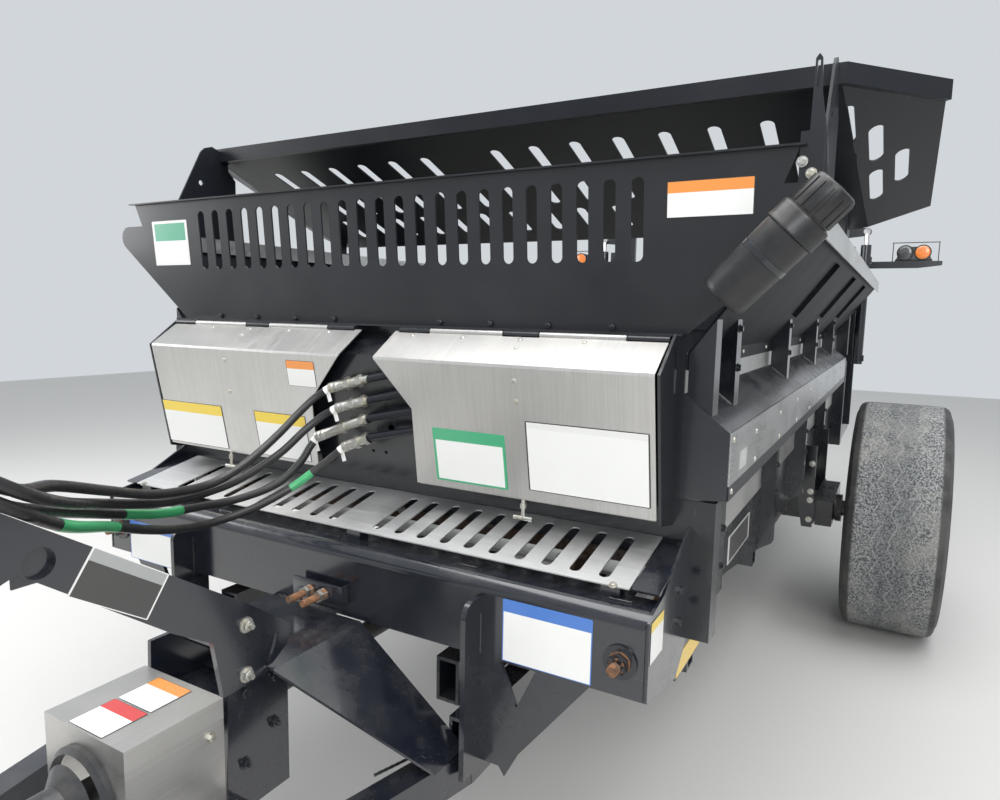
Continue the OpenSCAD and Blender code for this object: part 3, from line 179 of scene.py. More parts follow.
hoses = []
for number, (start, lane) in enumerate(zip(HOSE_STARTS, LANES), 1):
    line = smooth(hose_points(start, lane))
    hose = tube_curve(f"hydraulic_hose_{number}", line, HOSE_D / 2)
    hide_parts(f"hose_{number}")
    hoses.append((hose, line))
    print(hose.name, "is", round(line_length(line), 3), "m long")

# %% [markdown]
# ## Small tools
# Most added pieces are turned or cut from a simple start, and many of them repeat. These helpers make
# a mesh from a bmesh, put it at its place and let it ride on a body.

# %% Helpers for pieces
def piece(name, bm, material, body="chassis", shade_angle=35):
    """Turns a bmesh into an object that rides on a body."""
    bmesh.ops.recalc_face_normals(bm, faces=bm.faces)
    mesh = bpy.data.meshes.new(name)
    bm.to_mesh(mesh)
    bm.free()
    thing = bpy.data.objects.new(name, mesh)
    bpy.context.collection.objects.link(thing)
    mesh.materials.append(material)
    mesh.shade_smooth()
    mesh.set_sharp_from_angle(angle=math.radians(shade_angle))
    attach(thing, body)
    return thing


def facing(axis, top=Vector((0, 0, 1))):
    """A turn whose Z looks along axis and whose Y is as near as can be to top."""
    z = Vector(axis).normalized()
    x = Vector(top).cross(z)
    if x.length < 1e-4:
        x = Vector((1, 0, 0)).cross(z)
    x.normalize()
    return Matrix((x, z.cross(x), z)).transposed().to_4x4()


def seat(place, axis, top=Vector((0, 0, 1))):
    """A place together with a turn that faces along axis."""
    return Matrix.Translation(place) @ facing(axis, top)


def add_lathe(bm, outline, place, axis, steps=24):
    """Spins a list of (radius, height) in millimetres round an axis into the bmesh."""
    before = set(bm.verts)
    corners = [bm.verts.new((r * MM, 0, h * MM)) for r, h in outline]
    edges = [bm.edges.new(pair) for pair in zip(corners, corners[1:])]
    bmesh.ops.spin(bm, geom=corners + edges, cent=(0, 0, 0), axis=(0, 0, 1), angle=math.tau,
                   steps=steps, use_merge=True)
    made = [v for v in bm.verts if v not in before]
    bmesh.ops.remove_doubles(bm, verts=made, dist=1e-6)
    made = [v for v in made if v.is_valid]
    bmesh.ops.transform(bm, verts=made, matrix=seat(place, axis))


def add_box(bm, spot, across, along, up):
    """A box in millimetres round a place, or in a turned spot. Returns its corners."""
    if isinstance(spot, Vector):
        spot = Matrix.Translation(spot)
    size = Matrix.Diagonal((across * MM, along * MM, up * MM, 1))
    return bmesh.ops.create_cube(bm, size=1, matrix=spot @ size)["verts"]


def round_edges(bm, width, segments=2, edges=None):
    """Rounds the given edges, or else all of them, by a width in millimetres."""
    bmesh.ops.bevel(bm, geom=edges or bm.edges[:], offset=width * MM, offset_type="OFFSET",
                    affect="EDGES", segments=segments, profile=0.5, material=-1)


print("helpers ready")

# %% [markdown]
# ## Studio
# The light is a soft overcast: a pale world and three large area lamps. A plain pale floor keeps the
# machine's shadow. The lamps are weak enough that a colour renders about as it is written.

# %% Floor and light
FLOOR_HALF = 14
floor_bm = bmesh.new()
bmesh.ops.create_grid(floor_bm, x_segments=1, y_segments=1, size=FLOOR_HALF)
floor_mesh = bpy.data.meshes.new("studio_floor")
floor_bm.to_mesh(floor_mesh)
floor_bm.free()
studio_floor = bpy.data.objects.new("studio_floor", floor_mesh)
bpy.context.collection.objects.link(studio_floor)
floor_paint = bpy.data.materials.new("pale_floor")
floor_paint.use_nodes = True
floor_shader = floor_paint.node_tree.nodes["Principled BSDF"]
floor_shader.inputs["Base Color"].default_value = (0.62, 0.61, 0.59, 1)
floor_shader.inputs["Roughness"].default_value = 0.7
floor_mesh.materials.append(floor_paint)

world = bpy.data.worlds.new("soft_studio")
bpy.context.scene.world = world
world.use_nodes = True
sky = world.node_tree.nodes["Background"]
sky.inputs["Color"].default_value = (0.80, 0.84, 0.88, 1)
sky.inputs["Strength"].default_value = 0.8


def soft_lamp(name, place, target, size, power):
    """An area lamp that faces its target."""
    data = bpy.data.lights.new(name, "AREA")
    data.shape = "RECTANGLE"
    data.size, data.size_y = size
    data.energy = power
    lamp = bpy.data.objects.new(name, data)
    bpy.context.collection.objects.link(lamp)
    lamp.matrix_world = seat(place, Vector(place) - Vector(target))


soft_lamp("ceiling_light", (0.6, -1.0, 5.4), (0, 0, 1), (6, 6), 420)
soft_lamp("front_light", (3.2, -6.0, 3.6), (0, -1.5, 1.2), (3, 2), 160)
soft_lamp("left_light", (-5.5, -3.0, 3.0), (0, 0, 1.2), (3, 3), 130)
bpy.context.scene.view_settings.view_transform = "Standard"
print("studio ready")

# %% [markdown]
# ## Finishes
# The machine has few finishes: black satin paint, charcoal paint, brushed stainless sheet, zinc,
# rust, rubber and plastic. Each is a Principled shader with masks from shared node groups, so that a
# wall, a bolt and a beater all weather in the same way. The helpers below add one node at a time.

# %% Helpers for finishes
def node(tree, kind, sockets=None, **settings):
    """Adds a shader node. A socket's value is typed in, or linked when it is another socket."""
    made = tree.nodes.new("ShaderNode" + kind)
    for key, value in settings.items():
        setattr(made, key, value)
    for key, value in (sockets or {}).items():
        if isinstance(value, bpy.types.NodeSocket):
            tree.links.new(value, made.inputs[key])
        else:
            made.inputs[key].default_value = value
    return made


def ramp(tree, value, low, high, out_low=0.0, out_high=1.0):
    """Maps a value smoothly from one range to another."""
    made = node(tree, "MapRange", {"Value": value, "From Min": low, "From Max": high, "To Min": out_low,
                                   "To Max": out_high}, interpolation_type="SMOOTHSTEP")
    return made.outputs["Result"]


# A Mix node's sockets for colours go by number, because its other kinds share their names
MIX_FACTOR, MIX_A, MIX_B, MIX_RESULT = 0, 6, 7, 2


def mix_colour(tree, mask, a, b):
    """Mixes two colours by a mask. Each is typed in, or comes from a socket."""
    a, b = (c if isinstance(c, bpy.types.NodeSocket) else (*c, 1) for c in (a, b))
    made = node(tree, "Mix", {MIX_FACTOR: mask, MIX_A: a, MIX_B: b}, data_type="RGBA")
    return made.outputs[MIX_RESULT]


def calc(tree, operation, a, b=0.0):
    """One step of arithmetic."""
    return node(tree, "Math", {0: a, 1: b}, operation=operation).outputs[0]


def times(tree, a, b):
    """One value times another."""
    return calc(tree, "MULTIPLY", a, b)


def here(tree):
    """The place on the model, as Object coordinates."""
    return node(tree, "TexCoord").outputs["Object"]


def split(tree, vector):
    """The outputs X, Y and Z of a vector."""
    return node(tree, "SeparateXYZ", {0: vector}).outputs


def feed(shader, socket, value):
    """Links a value to a socket of the shader."""
    shader.id_data.links.new(value, shader.inputs[socket])


def noise(tree, where, scale, detail=4.0, rough=0.55):
    """A cloudy pattern. A greater scale makes it finer."""
    made = node(tree, "TexNoise", {"Vector": where, "Scale": scale, "Detail": detail, "Roughness": rough})
    return made.outputs["Fac"]


def group(name, inputs, outputs):
    """An empty node group. Inputs are (name, kind, value), outputs are names of single numbers."""
    made = bpy.data.node_groups.new(name, "ShaderNodeTree")
    for label, kind, value in inputs:
        made.interface.new_socket(label, in_out="INPUT", socket_type=kind).default_value = value
    for label in outputs:
        made.interface.new_socket(label, in_out="OUTPUT", socket_type="NodeSocketFloat")
    return made, made.nodes.new("NodeGroupInput").outputs, made.nodes.new("NodeGroupOutput").inputs


def use(tree, shared, **values):
    """Places a shared group in a material and returns its outputs."""
    made = tree.nodes.new("ShaderNodeGroup")
    made.node_tree = shared
    for key, value in values.items():
        made.inputs[key].default_value = value
    return made.outputs


print("finish helpers ready")

# %% [markdown]
# Weather is one group: broad blotches, a fine grain, and a dust mask. Dust lies on faces that look up
# and thins out with height, since it is thrown up from the road.

# %% Weather group
DUST_TOP = 1.3
weather, given, out = group("weather", [], ["Blotch", "Grain", "Dust"])
place = here(weather)
weather.links.new(noise(weather, place, 2.3, 6.0, 0.62), out["Blotch"])
weather.links.new(noise(weather, place, 90.0, 3.0, 0.6), out["Grain"])
specks = ramp(weather, noise(weather, place, 7.0, 8.0, 0.7), 0.38, 0.72)
look_up = split(weather, node(weather, "NewGeometry").outputs["Normal"])["Z"]
upward = ramp(weather, look_up, 0.1, 0.95, 0.12, 0.6)
low_down = ramp(weather, split(weather, place)["Z"], 0.1, DUST_TOP, 0.55, 0.0)
lying = calc(weather, "ADD", upward, low_down)
weather.links.new(times(weather, lying, specks), out["Dust"])
print("weather group:", len(weather.nodes), "nodes")

# %% [markdown]
# Scuffs are thin pale strokes and small chips. Two stretched noises crossed give the strokes, and the
# middles of the cells of a Voronoi pattern give the chips. Both show only in a few blotches.

# %% Scuff group
scuffs, given, out = group("scuffs", [("Amount", "NodeSocketFloat", 0.5)], ["Mask"])
place = here(scuffs)
strokes = None
for stretch in ((260, 9, 30), (12, 220, 200)):
    turned = node(scuffs, "Mapping", {"Vector": place, "Scale": stretch, "Rotation": (0.5, 0.3, 0.9)})
    line = ramp(scuffs, noise(scuffs, turned.outputs[0], 1.0, 2.0, 0.5), 0.70, 0.78)
    strokes = line if strokes is None else calc(scuffs, "MAXIMUM", strokes, line)
patches = ramp(scuffs, noise(scuffs, place, 5.0, 4.0, 0.65), 0.56, 0.70)
cells = node(scuffs, "TexVoronoi", {"Vector": place, "Scale": 170.0}).outputs["Distance"]
chips = ramp(scuffs, cells, 0.16, 0.08)
both = calc(scuffs, "MAXIMUM", strokes, times(scuffs, chips, 0.7))
scuffs.links.new(times(scuffs, times(scuffs, both, patches), given["Amount"]), out["Mask"])
print("scuff group:", len(scuffs.nodes), "nodes")

# %% [markdown]
# Brushed sheet has fine lines along one direction. A noise that is stretched fifty times or more along
# that direction makes them. The smudge mask is for hand marks and water marks.

# %% Brushing group
stretch_input = ("Stretch", "NodeSocketVector", (4, 300, 300))
brushing, given, out = group("brushing", [stretch_input], ["Lines", "Smudge"])
place = here(brushing)
pulled = node(brushing, "VectorMath", {0: place, 1: given["Stretch"]}, operation="MULTIPLY").outputs[0]
brushing.links.new(noise(brushing, pulled, 1.0, 5.0, 0.7), out["Lines"])
brushing.links.new(ramp(brushing, noise(brushing, place, 4.2, 7.0, 0.68), 0.40, 0.72), out["Smudge"])
print("brushing group:", len(brushing.nodes), "nodes")

# %% [markdown]
# The paint is black with a blue cast, smooth enough to mirror the sky softly. Dust dulls it, and
# scuffs show the pale primer. A fine bump gives the slight orange peel that sprayed paint has.

# %% Paint and sheet finishes
DUST = (0.36, 0.32, 0.27)
PRIMER = (0.42, 0.43, 0.44)


def new_finish(name, metallic=0.0, coat=0.0, coat_rough=0.1, specular=0.5):
    """A material with its Principled shader, ready for masks."""
    material = bpy.data.materials.new(name)
    material.use_nodes = True
    tree = material.node_tree
    shader = tree.nodes["Principled BSDF"]
    shader.inputs["Metallic"].default_value = metallic
    shader.inputs["Coat Weight"].default_value = coat
    shader.inputs["Coat Roughness"].default_value = coat_rough
    shader.inputs["Specular IOR Level"].default_value = specular
    return material, tree, shader


def bump(tree, shader, height, strength, distance):
    """Lets a height change the light on the surface."""
    made = node(tree, "Bump", {"Height": height, "Strength": strength, "Distance": distance})
    feed(shader, "Normal", made.outputs["Normal"])


def veiled(tree, shader, base, dust, amount):
    """Links the base colour under a veil of dust and returns the veil."""
    veil = times(tree, dust, amount)
    feed(shader, "Base Color", mix_colour(tree, veil, base, DUST))
    return veil


def paint(name, colour, rough=0.3, dust=0.5, wear=0.5, coat=0.35, specular=0.5):
    """Sprayed paint on steel."""
    material, tree, shader = new_finish(name, coat=coat, coat_rough=0.12, specular=specular)
    marks = use(tree, weather)
    lighter = [c * 1.35 + 0.002 for c in colour]
    base = mix_colour(tree, ramp(tree, marks["Blotch"], 0.3, 0.75), colour, lighter)
    base = mix_colour(tree, use(tree, scuffs, Amount=wear)["Mask"], base, PRIMER)
    veiled(tree, shader, base, marks["Dust"], dust)
    dulled = calc(tree, "ADD", marks["Dust"], times(tree, marks["Blotch"], 0.5))
    feed(shader, "Roughness", ramp(tree, dulled, 0.15, 0.9, rough, rough + 0.3))
    bump(tree, shader, noise(tree, here(tree), 420.0, 2.0), 0.04, 0.0004)
    return material


def sheet_metal(name, colour, stretch, rough=0.3, dust=0.25):
    """Brushed stainless sheet."""
    material, tree, shader = new_finish(name, metallic=1.0)
    lines = use(tree, brushing, Stretch=stretch)
    marks = use(tree, weather)
    darker = [c * 0.86 for c in colour]
    base = mix_colour(tree, ramp(tree, lines["Lines"], 0.25, 0.75), darker, colour)
    base = mix_colour(tree, times(tree, lines["Smudge"], 0.22), base, [c * 0.72 for c in colour])
    veil = veiled(tree, shader, base, marks["Dust"], dust)
    worn = calc(tree, "ADD", times(tree, lines["Smudge"], 0.4), times(tree, lines["Lines"], 0.6))
    feed(shader, "Roughness", ramp(tree, worn, 0.1, 0.9, rough, rough + 0.2))
    feed(shader, "Metallic", ramp(tree, veil, 0.0, 0.5, 1.0, 0.4))
    bump(tree, shader, lines["Lines"], 0.12, 0.0003)
    return material


def zinc_plate(name, colour, spangle=60.0, rough=0.34, gold=0.0):
    """Zinc, with the cells that galvanising leaves and, on plated parts, a little yellow."""
    material, tree, shader = new_finish(name, metallic=0.95)
    place = here(tree)
    cells = node(tree, "TexVoronoi", {"Vector": place, "Scale": spangle}).outputs["Color"]
    cell = split(tree, cells)["X"]
    base = mix_colour(tree, cell, [c * 0.8 for c in colour], colour)
    yellowed = times(tree, ramp(tree, noise(tree, place, 35.0), 0.4, 0.7), gold)
    base = mix_colour(tree, yellowed, base, (0.62, 0.50, 0.22))
    marks = use(tree, weather)
    veiled(tree, shader, base, marks["Dust"], 0.4)
    dulled = calc(tree, "ADD", cell, marks["Dust"])
    feed(shader, "Roughness", ramp(tree, dulled, 0.0, 1.6, rough, rough + 0.25))
    bump(tree, shader, marks["Grain"], 0.08, 0.0004)
    return material


SHEET_BLACK = (0.0055, 0.0068, 0.010)
PLATED = (0.58, 0.58, 0.55)
black_paint = paint("black_paint", (0.0065, 0.0078, 0.011), rough=0.20, dust=0.06, wear=0.2, coat=0.4)
tongue_paint = paint("tongue_paint", (0.0065, 0.0080, 0.013), rough=0.16, dust=0.05, wear=0.25, coat=0.9)
charcoal_paint = paint("charcoal_paint", (0.0085, 0.0095, 0.012), rough=0.28, dust=0.06, wear=0.12, coat=0.2)
hood_paint = paint("hood_paint", SHEET_BLACK, rough=0.34, dust=0.05, wear=0.25, coat=0.0, specular=0.28)
flare_paint = paint("flare_paint", SHEET_BLACK, rough=0.44, dust=0.05, wear=0.2, coat=0.0, specular=0.12)
ledge_paint = paint("ledge_paint", (0.010, 0.012, 0.016), rough=0.24, dust=0.16, wear=0.4, coat=0.5)
cover_sheet = sheet_metal("cover_sheet", (0.66, 0.65, 0.63), (300, 5, 5), rough=0.34)
# The grate is stainless like the walls, and its colour is set paler than theirs as a painted reflection of
# the sky on its upward face
grate_sheet_sky_lit = sheet_metal("grate_sheet_sky_lit", (0.80, 0.80, 0.80), (5, 260, 260), rough=0.46, dust=0.12)
wall_sheet = sheet_metal("wall_sheet", (0.60, 0.60, 0.58), (260, 4, 260), rough=0.36, dust=0.45)
box_sheet = sheet_metal("box_sheet", (0.63, 0.62, 0.60), (240, 4, 240), rough=0.30, dust=0.2)
galvanised = zinc_plate("galvanised", (0.66, 0.67, 0.66), spangle=45.0)
zinc = zinc_plate("zinc", PLATED, spangle=300.0, rough=0.3, gold=0.25)
rod_chrome = zinc_plate("rod_chrome", (0.72, 0.72, 0.72), spangle=4.0, rough=0.12)


PAINTED = {"Base Color": (0.0065, 0.008, 0.012), "Metallic": 0.0, "Roughness": 0.28}


def painted_where(material, low, high, axis):
    """Paints a metal finish black where one of the Object coordinates lies between low and high."""
    tree = material.node_tree
    shader = tree.nodes["Principled BSDF"]
    along = split(tree, here(tree))[axis]
    mask = times(tree, ramp(tree, along, low, low + MM), ramp(tree, along, high, high - MM))
    for socket, painted in PAINTED.items():
        source = shader.inputs[socket]
        bare = source.links[0].from_socket if source.links else source.default_value
        if socket == "Base Color":
            mixed = mix_colour(tree, mask, bare, painted)
        else:
            rest = times(tree, bare, calc(tree, "SUBTRACT", 1.0, mask))
            mixed = calc(tree, "ADD", rest, times(tree, mask, painted))
        feed(shader, socket, mixed)
    return material


# The strip's lower lip and the right part of the fittings are painted with the machine
strip_sheet = sheet_metal("lipped_strip", (0.60, 0.60, 0.60), (240, 3, 240), rough=0.24, dust=0.2)
lipped_strip = painted_where(strip_sheet, -1.0, 1.187, "Z")
fitting_zinc = zinc_plate("fitting_finish", PLATED, spangle=300.0, rough=0.3, gold=0.25)
fitting_finish = painted_where(fitting_zinc, 0.042, 1.0, "X")
print("paints and sheets ready")

# %% [markdown]
# Bare steel that works in the load rusts at once: the apron, the flights and the rods' tips. The rust
# is a mix of dark scale and orange bloom, and where parts rub it is polished back to steel.

# %% Rust, cast, rubber and plastic finishes
# Dark scale, orange bloom and fresh bloom, then the steel below them
RUST = [(0.055, 0.030, 0.020), (0.24, 0.11, 0.050), (0.38, 0.21, 0.10)]
STEEL = (0.36, 0.34, 0.33)


def rusty(name, polish=0.3, scale=9.0, tone=1.0):
    """Rusty steel. More polish leaves more bare metal, a lower tone leaves more oil and dirt on it."""
    material, tree, shader = new_finish(name)
    place = here(tree)
    broad = noise(tree, place, scale, 8.0, 0.7)
    fine = noise(tree, place, scale * 24, 4.0, 0.65)
    brown, bloom, bright_bloom = ([c * tone for c in colour] for colour in RUST)
    base = mix_colour(tree, ramp(tree, broad, 0.35, 0.62), brown, bloom)
    base = mix_colour(tree, ramp(tree, fine, 0.5, 0.72), base, bright_bloom)
    bare = times(tree, ramp(tree, noise(tree, place, scale * 1.7, 3.0), 0.5, 0.68), polish)
    feed(shader, "Base Color", mix_colour(tree, bare, base, STEEL))
    feed(shader, "Metallic", bare)
    feed(shader, "Roughness", ramp(tree, bare, 0.0, 0.8, 0.86, 0.38))
    bump(tree, shader, calc(tree, "ADD", broad, fine), 0.35, 0.0012)
    return material


def rubber(name, colour, rough, dust):
    """Hose rubber with a fine grain."""
    material, tree, shader = new_finish(name)
    marks = use(tree, weather)
    base = mix_colour(tree, marks["Blotch"], colour, [c * 1.6 for c in colour])
    veiled(tree, shader, base, marks["Dust"], dust)
    feed(shader, "Roughness", ramp(tree, marks["Grain"], 0.2, 0.8, rough - 0.08, rough + 0.12))
    bump(tree, shader, noise(tree, here(tree), 700.0, 2.0), 0.2, 0.0005)
    return material


def plastic(name, colour, rough):
    """Moulded plastic with a fine leather-like grain."""
    material, tree, shader = new_finish(name)
    marks = use(tree, weather)
    lighter = [c * 1.35 for c in colour]
    scratched = [c * 4 + 0.1 for c in colour]
    base = mix_colour(tree, ramp(tree, marks["Blotch"], 0.3, 0.7), colour, lighter)
    base = mix_colour(tree, use(tree, scuffs, Amount=0.5)["Mask"], base, scratched)
    veiled(tree, shader, base, marks["Dust"], 0.3)
    feed(shader, "Roughness", ramp(tree, marks["Grain"], 0.2, 0.8, rough - 0.06, rough + 0.1))
    cells = node(tree, "TexVoronoi", {"Vector": here(tree), "Scale": 900.0}).outputs["Distance"]
    bump(tree, shader, cells, 0.1, 0.0004)
    return material


def lens(name, colour):
    """A lamp lens: clear coat over ribbed coloured plastic."""
    material, tree, shader = new_finish(name, coat=1.0, coat_rough=0.03)
    wave = {"Vector": here(tree), "Scale": 40.0, "Distortion": 0.0}
    ribs = node(tree, "TexWave", wave, bands_direction="Z").outputs["Fac"]
    feed(shader, "Base Color", mix_colour(tree, ribs, [c * 0.55 for c in colour], colour))
    feed(shader, "Roughness", ramp(tree, ribs, 0.0, 1.0, 0.12, 0.28))
    bump(tree, shader, ribs, 0.4, 0.001)
    return material


working_steel = rusty("working_steel", polish=0.75, scale=7.0)
chain_steel = rusty("chain_steel", polish=0.2, scale=14.0, tone=0.16)
rod_rust = rusty("rod_rust", polish=0.15, scale=40.0)
cast_paint = paint("cast_paint", (0.014, 0.015, 0.018), rough=0.42, dust=0.3, wear=0.5, coat=0.05)
hose_rubber = rubber("hose_rubber", (0.012, 0.012, 0.013), rough=0.36, dust=0.15)
black_plastic = plastic("black_plastic", (0.008, 0.0085, 0.010), rough=0.36)
guard_plastic = plastic("guard_plastic", (0.02, 0.022, 0.026), rough=0.35)
amber_lens = lens("amber_lens", (0.85, 0.22, 0.02))
red_lens = lens("red_lens", (0.55, 0.02, 0.015))
dark_lens = lens("dark_lens", (0.03, 0.032, 0.036))
print("all finishes:", len(bpy.data.materials))

# %% [markdown]
# The tyre's tread is ground almost smooth, so it looks like stone: pale grey with dark pores, darker
# along its middle, and with a few pale zigzag sipes. The angle round the axle and the distance from
# the tyre's middle drive the pattern. Below the shoulder the rubber is dark.

# %% Tyre finish
AXLE_Y = 2540
TYRE_R = 562
TREAD_HALF = 168
WHEEL_X = 1230
SIPES = (-0.085, -0.02, 0.062)


def tyre_finish():
    """The worn tyre: stone-like on the tread, dark rubber on the sides."""
    material, tree, shader = new_finish("tyre_rubber")
    where = here(tree)
    axle = at(0, AXLE_Y, TYRE_R)
    from_axle = node(tree, "VectorMath", {0: where, 1: axle}, operation="SUBTRACT").outputs[0]
    part = split(tree, from_axle)
    turn = calc(tree, "ARCTAN2", part["Z"], part["Y"])
    squares = [times(tree, part[key], part[key]) for key in "YZ"]
    radius = calc(tree, "SQRT", calc(tree, "ADD", *squares))
    aside = calc(tree, "SUBTRACT", calc(tree, "ABSOLUTE", part["X"]), WHEEL_X * MM)
    outside = ramp(tree, radius, (TYRE_R - 14) * MM, (TYRE_R - 5) * MM)
    between = ramp(tree, calc(tree, "ABSOLUTE", aside), (TREAD_HALF + 2) * MM, (TREAD_HALF - 10) * MM)
    tread = times(tree, outside, between)
    zigzag = calc(tree, "PINGPONG", times(tree, turn, 9.0), 1.0)
    sipes = None
    for offset in SIPES:
        middle = calc(tree, "ADD", times(tree, zigzag, 0.03), offset)
        gap = calc(tree, "ABSOLUTE", calc(tree, "SUBTRACT", aside, middle))
        line = ramp(tree, gap, 0.0035, 0.0015)
        sipes = line if sipes is None else calc(tree, "MAXIMUM", sipes, line)
    pores = noise(tree, where, 120.0, 5.0, 0.8)
    broad = noise(tree, where, 6.0, 6.0, 0.68)
    middle = ramp(tree, calc(tree, "ABSOLUTE", aside), 0.02, 0.13, 1.0, 0.0)
    stone = mix_colour(tree, ramp(tree, pores, 0.43, 0.58), (0.045, 0.050, 0.055), (0.31, 0.315, 0.31))
    stone = mix_colour(tree, ramp(tree, broad, 0.46, 0.64, 0.0, 0.45), stone, (0.34, 0.33, 0.30))
    stone = mix_colour(tree, times(tree, middle, 0.38), stone, (0.060, 0.068, 0.075))
    stone = mix_colour(tree, times(tree, sipes, 0.35), stone, (0.42, 0.42, 0.40))
    dusty = ramp(tree, broad, 0.35, 0.7, 0.0, 0.5)
    side = mix_colour(tree, dusty, (0.018, 0.018, 0.019), (0.11, 0.105, 0.098))
    feed(shader, "Base Color", mix_colour(tree, tread, side, stone))
    feed(shader, "Roughness", ramp(tree, tread, 0.0, 1.0, 0.55, 0.9))
    relief = calc(tree, "SUBTRACT", pores, times(tree, sipes, 0.5))
    bump(tree, shader, times(tree, relief, ramp(tree, tread, 0.0, 1.0, 0.15, 1.0)), 0.55, 0.003)
    return material


tyre_rubber = tyre_finish()
print("tyre finish ready")

# %% [markdown]
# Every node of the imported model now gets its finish. The model's own mesh stays as it is, only the
# material in its slot changes.

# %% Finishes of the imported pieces
NODE_FINISH = {
    black_paint: "main_frame side_frames front_wall gate rear_frame axle lever_arm",
    hood_paint: "splash_hood",
    flare_paint: "flare_left flare_right",
    tongue_paint: "tongue tongue_shield front_beam hose_arm jack_tube",
    charcoal_paint: "front_screen rim_left rim_right",
    ledge_paint: "ledge_left ledge_right",
    box_sheet: "drive_cover",
    wall_sheet: "wall_left wall_right box_floor",
    cover_sheet: "cover_left cover_right",
    grate_sheet_sky_lit: "step_grate",
    lipped_strip: "ledge_strips",
    galvanised: "flare_caps jack_leg",
    fitting_finish: "hose_fittings",
    zinc: "hose_couplers",
    rod_chrome: "gate_rods",
    rod_rust: "tension_rods",
    chain_steel: "apron_chain apron_slats apron_rollers",
    working_steel: "flight_left flight_right",
    cast_paint: "beater_drive beater_left beater_right driveline",
    guard_plastic: "pto_guard",
    black_plastic: "manual_canister lamps",
    hose_rubber: "hose_1 hose_2 hose_3 hose_4",
    tyre_rubber: "tyre_left tyre_right",
}
finished = set()
for finish, names in NODE_FINISH.items():
    for name in names.split():
        nodes[name].data.materials.clear()
        nodes[name].data.materials.append(finish)
        finished.add(name)
print("nodes with a finish:", len(finished), "left:", sorted(set(nodes) - finished))

for hose, line in hoses:
    hose.data.materials.append(hose_rubber)

# %% [markdown]
# ## Plates
# The real machine carries printed plates. Here they are blank: a white or dark field with a coloured
# header and a border, and nothing on it. The pattern follows the plate's own UV map, which runs from
# 0 to 1 across it, so one finish fits every size. A clear film and a little grime cover it.

# %% Label finish
INK = (0.012, 0.012, 0.014)
PALE = (0.74, 0.74, 0.72)
GREEN = (0.03, 0.36, 0.17)
BLUE = (0.035, 0.16, 0.52)
COAL = (0.020, 0.021, 0.023)
YELLOW = (0.85, 0.55, 0.02)
TIN = (0.62, 0.62, 0.60)


def label_finish(name, header, share, border=None, border_w=0.012, field=(0.80, 0.80, 0.78)):
    """A printed plate: a header over the upper share, a border and a plain field."""
    material, tree, shader = new_finish(name, coat=0.6, coat_rough=0.15)
    spot = split(tree, node(tree, "UVMap", uv_map="plate").outputs[0])
    base = mix_colour(tree, calc(tree, "GREATER_THAN", spot["Y"], 1 - share), field, header)
    if border:
        aside, above = (calc(tree, "ABSOLUTE", calc(tree, "SUBTRACT", spot[key], 0.5)) for key in "XY")
        rim = calc(tree, "GREATER_THAN", calc(tree, "MAXIMUM", aside, above), 0.5 - border_w)
        base = mix_colour(tree, rim, base, border)
    marks = use(tree, weather)
    feed(shader, "Base Color", mix_colour(tree, times(tree, marks["Blotch"], 0.12), base, DUST))
    feed(shader, "Roughness", ramp(tree, marks["Grain"], 0.2, 0.8, 0.28, 0.42))
    return material


yellow_label = label_finish("yellow_header_label", (0.80, 0.58, 0.03), 0.24, INK)
orange_label = label_finish("orange_header_label", (0.80, 0.27, 0.04), 0.32, INK)
green_label = label_finish("green_header_label", GREEN, 0.22, GREEN, 0.035)
green_block = label_finish("green_block_label", (0.05, 0.34, 0.20), 0.45, PALE, 0.06)
blue_label = label_finish("blue_header_label", BLUE, 0.2, BLUE)
red_label = label_finish("red_header_label", (0.58, 0.03, 0.03), 0.34, INK)
white_panel = label_finish("white_panel", PALE, 0.1, INK)
grey_panel = label_finish("grey_header_panel", (0.32, 0.33, 0.33), 0.26, PALE, 0.02, COAL)
dark_panel = label_finish("dark_panel", COAL, 0.3, PALE, 0.05, COAL)
metal_tag = label_finish("metal_tag", (0.60, 0.60, 0.59), 0.3, (0.35, 0.35, 0.35), 0.03, TIN)
yellow_tape = label_finish("yellow_tape", YELLOW, 0.5, field=YELLOW)
print("label finishes ready")

# %% [markdown]
# A plate starts as a box that is thinner than a coin. Its four upright edges are rounded, its UV map
# is laid while it still lies flat, and then it is turned to face out of the sheet that carries it.

# %% Plates and the faces that carry them
PLATE_CORNER = 2.5
FRONT = Vector((0, -1, 0))
RIGHT_SIDE = Vector((1, 0, 0))
BACK = Vector((0, 1, 0))
SKY = Vector((0, 0, 1))
SCREEN_OUT = Vector((0, -0.9966, -0.0830))
COVER_OUT = Vector((0, -0.982, -0.188))
SLOPE_OUT = Vector((0, -0.568, 0.823))


def screen_face(x, z):
    """A place on the front of the leaning screen."""
    return at(x, 30 - 0.0833 * (z - 1502), z)


def cover_face(x, z):
    """A place on the front of a cover."""
    return at(x, -113 + 0.1914 * (1420 - z), z)


def slope_face(x, down):
    """A place on the sloping top of a cover, so far down from the hinge."""
    return at(x, -23.7 - 0.823 * down, 1487.5 - 0.568 * down)


def plate(name, middle, out, width, height, finish, top=SKY, body="chassis", thick=1.0):
    """A thin printed plate on a face."""
    bm = bmesh.new()
    add_box(bm, Vector(), width, height, thick)
    upright = [e for e in bm.edges if abs(e.verts[0].co.z - e.verts[1].co.z) > 1e-6]
    round_edges(bm, PLATE_CORNER, 3, upright)
    uv = bm.loops.layers.uv.new("plate")
    for face in bm.faces:
        for loop in face.loops:
            spot = loop.vert.co
            loop[uv].uv = (spot.x / (width * MM) + 0.5, spot.y / (height * MM) + 0.5)
    lift = Matrix.Translation((0, 0, thick * MM / 2))
    bmesh.ops.transform(bm, verts=bm.verts, matrix=seat(middle, out, top) @ lift)
    piece(name, bm, finish, body)


print("plates can be made")

# %% [markdown]
# Most plates are on the two covers, the beam and the screen. Each one is as large as in the photograph,
# worked out from its corners there. Those on a cover swing with it.

